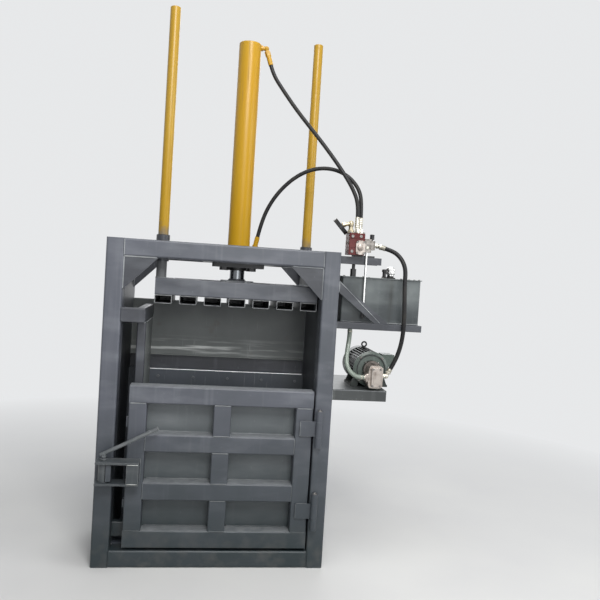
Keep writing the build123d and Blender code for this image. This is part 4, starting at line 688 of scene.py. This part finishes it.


# The power unit's shelves and tank: square rails, a folded sheet tank and its bolted lid, in the
# same enamel, with oil stains under the filler and the valve and patches of painted pale sheen on the
# tank.
def stained(name, colour, light, dark, stain, places, sheen_patches):
    """Enamel with oil-dark vertical stains below given X places, in metres, and patches of painted pale
    sheen, a painted reflection, each an X and Z centre, a reach and a strength."""
    made = painted(name, colour, light, dark, rough=0.42)
    shader, place, base = reopened(made)
    shader.inputs["Specular IOR Level"].default_value = 0.35
    across = height_of(place, "X")
    trails = ramp(noise(place, 30.0, 4.0, (1.0, 1.0, 0.06)), 0.42, 0.62, 0.0, 0.8)
    for centre, width in places:
        offset = node(shader, "Math", operation="SUBTRACT")
        link(across, offset.inputs[0])
        offset.inputs[1].default_value = centre
        distance = node(shader, "Math", operation="ABSOLUTE")
        link(offset.outputs[0], distance.inputs[0])
        share = combine(ramp(distance.outputs[0], width, 0.0), trails)
        base = blend_colour(share, base, stain)
    # Painted sheen: pale patches round given centres, standing for the light the tank reflects.
    flat_place = node(shader, "VectorMath", operation="MULTIPLY")
    link(place, flat_place.inputs[0])
    flat_place.inputs[1].default_value = (1.0, 0.0, 1.0)
    mottled = ramp(noise(place, 12.0, 5.0), 0.3, 0.6, 0.5, 1.0)
    for x, z, reach, strength in sheen_patches:
        away = node(shader, "VectorMath", operation="DISTANCE")
        link(flat_place.outputs["Vector"], away.inputs[0])
        away.inputs[1].default_value = (x, 0.0, z)
        share = combine(ramp(away.outputs["Value"], 0.0, reach, strength, 0.0), mottled)
        base = blend_colour(share, base, light)
    link(base, shader.inputs["Base Color"])
    return made


tank_paint = stained("tank_enamel", (0.068, 0.078, 0.082), (0.18, 0.20, 0.20), (0.044, 0.051, 0.055),
                     (0.035, 0.038, 0.036), ((0.80, 0.07), (1.01, 0.05)),
                     ((0.98, 1.79, 0.14, 1.0), (1.13, 1.66, 0.12, 0.9), (0.86, 1.68, 0.12, 0.7)))
dress(tank_paint, "oil_tank")
dress(painted("shelf_enamel", (0.056, 0.061, 0.062), (0.15, 0.16, 0.155), (0.037, 0.041, 0.042)),
      "motor_shelf")
dress(shaded_slate, "tank_shelf", "valve_stand")
shelf_lines = [
    ((671, -318, 1712), (671, -318, 1648), 4.0),
    ((672, -311, 1711), (930, -311, 1475), 2.6),
    ((671, -311, 1434), (671, -311, 1470), 3.0),
    ((671, -311, 1008), (671, -311, 1064), 3.0),
    ((671, -257, 1822), (671, -257, 1861), 3.0),
    ((704, -246, 1474), (1187, -246, 1474), 2.2),
    ((674, -310, 1066), (998, -310, 1066), 2.2),
]
weld("shelf_welds", shelf_lines, weld_highlight_paint)


def bolt_heads(places, along, flat, height, washer_radius=None):
    """Hex heads on washers at places in mm, out along a direction; flat is half across flats."""
    washer_radius = washer_radius or flat * 1.35
    corner = flat * 1.16
    profile = [(0, washer_radius), (flat * 0.16, washer_radius), (flat * 0.17, flat, flat)]
    profile += [(flat * 0.2, corner, flat), (height * 0.85, corner, flat), (height, flat * 0.96, flat)]
    return [turned_at(place, along, profile) for place in places]


lid_top = 1745
lid_places = [(x, y, lid_top) for x in (712, 830, 948, 1066, 1180) for y in (-238, 98)]
lid_places += [(x, y, lid_top) for x in (705, 1187) for y in (-120, -10)]
dark_bolt = metal("dark_bolt", (0.22, 0.21, 0.20), 0.42, (0.05, 0.045, 0.04), 0.5)
solid_mesh("lid_bolts", bolt_heads(lid_places, up, 5.5, 5.0), dark_bolt)


# The filler breather: a chromed cap with a fluted rim on a black base, and the black dipstick
# plug in front of it.
def fluted(place, along, profile, flutes, depth, around=144):
    """Turned part whose entries marked True are fluted: radius less a rectified cosine of the angle."""
    rings = turned_at(place, along, [entry[:2] for entry in profile], around)
    angle = np.arange(around) * 2 * np.pi / around
    cut = depth / 1000 * (1 - np.abs(np.cos(angle * flutes / 2)))
    for number, entry in enumerate(profile):
        if entry[2]:
            middle = (np.array(place) + np.array(along) * entry[0]) / 1000
            outward = rings[number] - middle
            size = np.linalg.norm(outward, axis=1)[:, None]
            rings[number] = middle + outward * (size - cut[:, None]) / size
    return rings


chrome = metal("chrome", (0.62, 0.62, 0.61), 0.13, (0.05, 0.045, 0.04), 0.3)
cap_profile = [
    (18, 20.5, False), (24, 20.5, False), (26, 25, False), (28, 27, True), (44, 27, True),
    (46, 26, False), (48, 26, False), (50, 27, True), (62, 27, True), (66, 25.5, False),
    (71, 20, False), (73.5, 8, False),
]
breather_foot = (1021, -150, lid_top)
cap = solid_mesh("breather_cap", [fluted(breather_foot, up, cap_profile, 30, 1.6)], chrome)
base_profile = [(0, 31.5), (1, 32), (6, 32), (8, 30), (8.1, 20.5), (18, 20.5)]
plug_profile = [(0, 14), (1, 14.5), (10, 14.5), (12, 12), (12.1, 10.8), (38, 10.8), (38.1, 14)]
plug_profile += [(39, 15), (52, 15), (55, 12), (56, 6)]
black_parts = [turned_at(breather_foot, up, base_profile, 48)]
black_parts.append(turned_at((969, -197, lid_top), up, plug_profile))
screw_angles = (0.5, 2.07, 3.64, 5.21)
screw_places = [(1021 + 26 * math.cos(a), -150 + 26 * math.sin(a), 1753) for a in screw_angles]
black_parts += bolt_heads(screw_places, up, 2.6, 3.0)
black_plastic = rubber("black_plastic", (0.012, 0.012, 0.013), (0.035, 0.034, 0.032), 0.3)
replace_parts(cap, "filler_breather")
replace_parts(solid_mesh("breather_base", black_parts, black_plastic), "filler_breather")


# The valve: a cast block in dark red enamel with its relief section left as a bare oily casting,
# closed by socket plugs, on a black subplate with the return pipe below.
def valve_finish(name):
    """Red enamel on the main block, and oily grey casting on the relief section beyond the joint."""
    made = painted(name, (0.105, 0.009, 0.009), (0.19, 0.06, 0.055), (0.05, 0.006, 0.006), rough=0.42)
    shader, place, red = reopened(made)
    shader.inputs["Specular IOR Level"].default_value = 0.25
    oily = ramp(noise(place, 60.0, 5.0), 0.35, 0.65)
    casting = blend_colour(oily, (0.30, 0.28, 0.26), (0.12, 0.11, 0.10))
    beyond = ramp(height_of(place, "X"), 0.8121, 0.8126)
    link(blend_colour(beyond, red, casting), shader.inputs["Base Color"])
    link(ramp(beyond, 0.0, 1.0, 0.0, 0.65), shader.inputs["Metallic"])
    return made


dress(valve_finish("valve_finish"), "valve_body")
dress(chrome, "valve_lever", "valve_spool")
socket_profile = [(0, 9), (2.5, 9), (3.5, 8), (3.5, 4.4, 3.8), (0.8, 4.4, 3.8)]
plug_places = [((x, -300, z), to_front) for x, z in ((736, 1893), (736, 1982), (786, 1984))]
plug_places += [((716, y, z), (-1, 0, 0)) for y, z in ((-272, 1945), (-218, 1945), (-245, 1893))]
plugs = [turned_at(place, out, socket_profile) for place, out in plug_places]
cap_screw = [(0, 6.5), (7, 6.5), (8, 5.8), (8, 3.4, 3.0), (4, 3.4, 3.0)]
for x, y in ((724, -292), (804, -292), (724, -198), (804, -198)):
    plugs.append(turned_at((x, y, valve_top), up, cap_screw, 24))
solid_mesh("valve_plugs", plugs, dark_bolt)
pivot_cap = [(0, 8), (1.5, 8), (1.6, 6.8, 6.0), (5, 6.8, 6.0), (6, 5.6, 6.0)]
solid_mesh("pivot_washers", [turned_at((832, -290, 1920), to_front, pivot_cap)], zinc)
grip_plastic = rubber("grip_plastic", (0.02, 0.021, 0.024), (0.06, 0.06, 0.06), 0.3)
grip_profile = [(0, 8), (1, 11), (3, 12)]
for groove in range(4):
    start = 8 + groove * 9
    grip_profile += [(start, 12), (start + 1.5, 10.8), (start + 4, 10.8), (start + 5.5, 12)]
grip_profile += [(48, 12), (53, 10.5), (56.5, 7), (57.8, 2)]
grip_rings = turned_at((832, -272, 1555), down, grip_profile)
grip = solid_mesh("ribbed_grip", [grip_rings], grip_plastic, "control_lever")
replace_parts(grip, "lever_grip")
dress(grip_plastic, "relief_knob")
knob_cap = [(0, 11), (1.5, 11), (2.5, 9), (2.5, 4.6, 4.0), (1.0, 4.6, 4.0)]
knob_rings = turned_at((871, -227.5, 2002.6), up, knob_cap)
solid_mesh("relief_knob_cap", [knob_rings], dark_bolt, "relief_adjuster")


# The pressure gauge: a black steel case with a white dial under glass, on a brass joint. Ticks
# run round three quarters of the dial, longer at every fifth.
dress(painted("gauge_case", (0.016, 0.016, 0.017), (0.07, 0.068, 0.065), (0.010, 0.010, 0.011),
              rough=0.3), "pressure_gauge")
dress(black_enamel, "gauge_pointer")
brass = metal("brass_fitting", (0.44, 0.39, 0.28), 0.38, (0.13, 0.115, 0.09), 0.65)
dress(brass, "brass_fittings")
glass, shader, place = new_material("dial_glass")
shader.inputs["Base Color"].default_value = (0.75, 0.78, 0.76, 1.0)
link(ramp(noise(place, 60.0), 0.4, 0.7, 0.02, 0.12), shader.inputs["Roughness"])
link(ramp(noise(place, 35.0), 0.4, 0.8, 0.08, 0.3), shader.inputs["Alpha"])
dress(glass, "gauge_glass")
dial_white, shader, place = new_material("dial_enamel")
yellowing = ramp(noise(place, 40.0), 0.3, 0.7)
link(blend_colour(yellowing, (0.62, 0.60, 0.54), (0.72, 0.71, 0.68)), shader.inputs["Base Color"])
tilt, turned_back = math.radians(48), math.radians(15)
dial_normal = np.array((-math.cos(turned_back), math.sin(turned_back), 0.0)) * math.sin(tilt)
dial_normal[2] = -math.cos(tilt)
dial_back = np.array((670.0, -245.0, 2038.0)) - dial_normal * 12
dial_face = [(12.02, 3), (12.02, 50.6), (12.4, 50.6), (12.4, 3), (12.02, 3)]
solid_mesh("gauge_dial", [turned_at(dial_back, dial_normal, dial_face, 64)], dial_white)
rim = [(24, 50.8), (19, 55), (20, 56), (24.6, 55.3), (25.2, 53), (24.9, 51.4), (24, 50.8)]
solid_mesh("gauge_bezel", [turned_at(dial_back, dial_normal, rim, 64)], black_plastic)
joint_foot = [(0, 19, 17), (2, 20, 17), (20, 20, 17), (22, 17, 17), (22.1, 13), (40, 13)]
joint_foot += [(44, 16), (56, 16.6)]
joint_nut = [(0, 12), (0.1, 16.5, 15), (2, 18, 15), (14, 18, 15), (16, 16, 15), (16.1, 12)]
ball_middle = np.array((732.0, -245.0, 2061.0))
nut_start = dial_back - axis_frame(ball_middle, dial_back)[0] * 17
joint_parts = [turned_at((732, -245, valve_top), up, joint_foot)]
joint_parts.append(turned(nut_start, dial_back, joint_nut))
solid_mesh("gauge_joint_nuts", joint_parts, brass)
_, across, upward, _ = axis_frame(dial_back, dial_back + dial_normal)
ticks = []
for number in range(41):
    angle = math.radians(-45 + number * 270 / 40)
    outward = math.cos(angle) * across + math.sin(angle) * upward
    reach, width = (9.0, 0.8) if number % 5 == 0 else (5.0, 0.45)
    centre = dial_back + dial_normal * 12.5 + outward * 46
    ticks.append(turned_at(centre, -outward, [(0, width), (reach, width)], 6))
solid_mesh("dial_ticks", ticks, black_plastic)


# The motor: a finned cast frame in grey-green enamel with end shields held by four bolts, a
# pressed fan cowl, a terminal box with its screwed lid and a blind cable gland.
dress(painted("motor_enamel", (0.020, 0.026, 0.023), (0.07, 0.085, 0.077), (0.010, 0.013, 0.012),
              edge=0.2), "motor_frame", "fan_cowl")
shield_paint = painted("shield_enamel", (0.098, 0.124, 0.110), (0.22, 0.26, 0.235),
                       (0.058, 0.072, 0.065), rough=0.38)
dress(shield_paint, "motor_shields", "terminal_box")
dress(zinc, "rotor", "drive_gear", "driven_gear")
dress(black_plastic, "motor_fan")
shaft_x, shaft_z = 925, 1183
quarters = [(math.cos(angle), math.sin(angle)) for angle in np.radians((45, 135, 225, 315))]
shield_places = [(shaft_x + 97 * cos, -192.5, shaft_z + 97 * sin) for cos, sin in quarters]
foot_places = [(x, y, 1085) for x in (820, 1030) for y in (-145, -10)]
motor_bolts = bolt_heads(shield_places, to_front, 6.0, 6.5) + bolt_heads(foot_places, up, 8.0, 9.0)
solid_mesh("motor_bolts", motor_bolts, dark_bolt)
# A thin black ring on the end shield's face near its rim: painted shadow of the rim.
groove = [(-0.6, 85), (-0.6, 90), (0.5, 90), (0.5, 85), (-0.6, 85)]
shade_ring_rings = turned_at((shaft_x, -200, shaft_z), to_front, groove, 72)
solid_mesh("shield_shade_ring", [shade_ring_rings], black_enamel)


def slab(centre, across, upward, width, height, corner, thick):
    """Flat plate with rounded corners, in mm: four quarter circles, its outer edge eased."""
    across, upward = np.array(across, float), np.array(upward, float)
    out = np.cross(across, upward)
    quarter = np.linspace(0, np.pi / 2, 6)
    rings = []
    for level, inset in ((0, 0), (thick - 0.8, 0), (thick, 0.8)):
        outline = []
        for turn, (sx, sy) in enumerate(((1, 1), (-1, 1), (-1, -1), (1, -1))):
            cx, cy = sx * (width / 2 - corner), sy * (height / 2 - corner)
            for angle in quarter + turn * np.pi / 2:
                radius = corner - inset
                wide, tall = cx + radius * math.cos(angle), cy + radius * math.sin(angle)
                outline.append(wide * across + tall * upward)
        rings.append(np.array(outline) + np.array(centre, float) + out * level)
    return np.array(rings) / 1000


box_parts = [slab((1081, -76, 1231), (0, 1, 0), up, 84, 60, 7, 3.5)]
gland_profile = [(0, 15), (0.1, 14.6, 12.6), (8, 14.6, 12.6), (8.1, 11.5), (11, 11.5)]
gland_profile += [(11.1, 12.6, 11), (19, 12.6, 11), (24, 9), (26, 5)]
box_parts.append(turned_at((1055, -76, 1193), down, gland_profile))
solid_mesh("terminal_lid", box_parts, shield_paint)
lid_screws = [(1084.5, -76 + dy, 1231 + dz) for dy in (-35, 35) for dz in (-23, 23)]
solid_mesh("terminal_screws", bolt_heads(lid_screws, (1, 0, 0), 3.4, 3.4), zinc)


# The pump: a bare aluminium body and cover with machined faces, its ports on small flanges, on a
# cast bell housing that is dark with oil.
alloy = metal("pump_alloy", (0.43, 0.385, 0.35), 0.4, (0.11, 0.08, 0.065), 0.7)
dress(alloy, "pump_body")
dress(metal("oily_casting", (0.16, 0.145, 0.135), 0.5, (0.04, 0.033, 0.028), 0.6), "bell_housing")
flange = [(0, 17), (0, 24), (5, 24), (6, 23), (6, 17), (0, 17)]
port_flanges, pump_screws = [], []
for x, y, z, side in ((869, -288, 1144, -1), (969, -282, 1157, 1)):
    port_flanges.append(turned_at((x, y, z), (side, 0, 0), flange, 48))
    flange_places = [(x + side * 5.9, y + 19.5 * cos, z + 19.5 * sin) for cos, sin in quarters]
    pump_screws += bolt_heads(flange_places, (side, 0, 0), 2.4, 2.6, 2.9)
solid_mesh("port_flanges", port_flanges, alloy)
cover_places = [(x, -344, z) for x in (903, 947) for z in (1103, 1201)]
pump_screws += bolt_heads(cover_places, to_front, 5.0, 5.0)
for cos, sin in quarters:
    housing_place = (shaft_x + 55 * cos, -214, shaft_z + 55 * sin)
    pump_screws += bolt_heads([housing_place], (cos, 0.0, sin), 5.0, 6.0)
solid_mesh("pump_screws", pump_screws, dark_bolt)
pads = [slab((925, -344, 1152), (1, 0, 0), up, 38, 76, 9, 2.0)]
pads.append(slab((881, -288, 1144), to_front, up, 52, 56, 10, 12.0))
solid_mesh("pump_pads", pads, alloy)


# The valve's front cap over the spool's detent: a rounded casting of the same bare alloy as the
# pump's, held by four socket screws.
cap_parts = [slab((784, -300, 1917), (1, 0, 0), up, 55, 84, 22, 13.0)]
cap_dome = [(0, 20), (2, 19.5), (5, 17), (6.5, 12), (7, 4)]
cap_parts.append(turned_at((784, -313, 1917), to_front, cap_dome, 40))
solid_mesh("valve_cap", cap_parts, alloy)
short_screw = cap_screw[:2] + [(4, 5.5), (4, 3.4, 3.0), (2, 3.4, 3.0)]
cap_places = [(x, -312.6, z) for x in (764, 804) for z in (1884, 1950)]
cap_screws = [turned_at(place, to_front, short_screw, 24) for place in cap_places]
solid_mesh("valve_cap_screws", cap_screws, dark_bolt)


# The floor and the light: a pale studio floor that fades into the pale wall behind, a soft key
# light high in front with a weaker one below it, and others from above, the side and behind.
floor_material, shader, place = new_material("studio_floor")
tone = ramp(noise(place, 1.2, 3.0), 0.3, 0.7)
link(blend_colour(tone, (0.60, 0.60, 0.60), (0.64, 0.64, 0.63)), shader.inputs["Base Color"])
shader.inputs["Roughness"].default_value = 0.75
reach = node(shader, "VectorMath", operation="LENGTH")
link(place, reach.inputs[0])


def seen_rays(beside):
    """1 for rays from the camera, in a mirror or through glass, and 0 for those that carry light."""
    path = node(beside, "LightPath")
    mirrored = combine(path.outputs["Is Glossy Ray"], path.outputs["Is Transmission Ray"], "MAXIMUM")
    return combine(path.outputs["Is Camera Ray"], mirrored, "MAXIMUM")


glow = node(shader, "Emission")
glow.inputs["Color"].default_value = (0.80, 0.81, 0.82, 1.0)
fade = node(shader, "MixShader")
link(combine(ramp(reach.outputs["Value"], 1.6, 5.0), seen_rays(shader)), fade.inputs[0])
link(shader.outputs[0], fade.inputs[1])
link(glow.outputs[0], fade.inputs[2])
link(fade.outputs[0], floor_material.node_tree.nodes["Material Output"].inputs["Surface"])
floor_mesh = bpy.data.meshes.new("studio_floor")
floor_mesh.from_pydata([(-60, -40, 0), (60, -40, 0), (60, 80, 0), (-60, 80, 0)], [], [(0, 1, 2, 3)])
floor_mesh.materials.append(floor_material)
floor = bpy.data.objects.new("studio_floor", floor_mesh)
bpy.context.scene.collection.objects.link(floor)


def area_light(name, place, target, size, power, colour=(1.0, 1.0, 1.0)):
    """Square area light at a place, aimed at a target; size in metres, power in watts."""
    lamp = bpy.data.lights.new(name, "AREA")
    lamp.size = size
    lamp.energy = power
    lamp.color = colour
    made = bpy.data.objects.new(name, lamp)
    made.location = place
    made.rotation_euler = (Vector(target) - Vector(place)).to_track_quat("-Z", "Y").to_euler()
    bpy.context.scene.collection.objects.link(made)


area_light("key", (0.5, -4.4, 4.8), (0.1, 0.0, 1.2), 2.0, 190, (1.0, 0.99, 0.97))
area_light("front", (0.8, -5.4, 2.1), (0.1, 0.0, 1.3), 2.4, 55, (0.98, 0.99, 1.0))
area_light("top", (0.4, -1.6, 5.6), (0.1, 0.0, 1.0), 2.4, 95)
area_light("back", (1.0, 4.5, 4.0), (0.1, 0.0, 1.6), 4.0, 120, (0.97, 0.985, 1.0))
area_light("side", (4.2, -1.8, 2.6), (0.4, 0.0, 1.4), 2.5, 60)

world = bpy.data.worlds.new("studio")
bpy.context.scene.world = world
world.use_nodes = True
tree = world.node_tree
tree.nodes.clear()
seen, lit = node(tree, "Background"), node(tree, "Background")
seen.inputs["Color"].default_value = (0.80, 0.81, 0.82, 1.0)
lit.inputs["Color"].default_value = (0.80, 0.82, 0.85, 1.0)
lit.inputs["Strength"].default_value = 0.26
mix = node(tree, "MixShader")
link(seen_rays(tree), mix.inputs[0])
link(lit.outputs[0], mix.inputs[1])
link(seen.outputs[0], mix.inputs[2])
link(mix.outputs[0], node(tree, "OutputWorld").inputs["Surface"])
bpy.context.scene.view_settings.view_transform = "Standard"
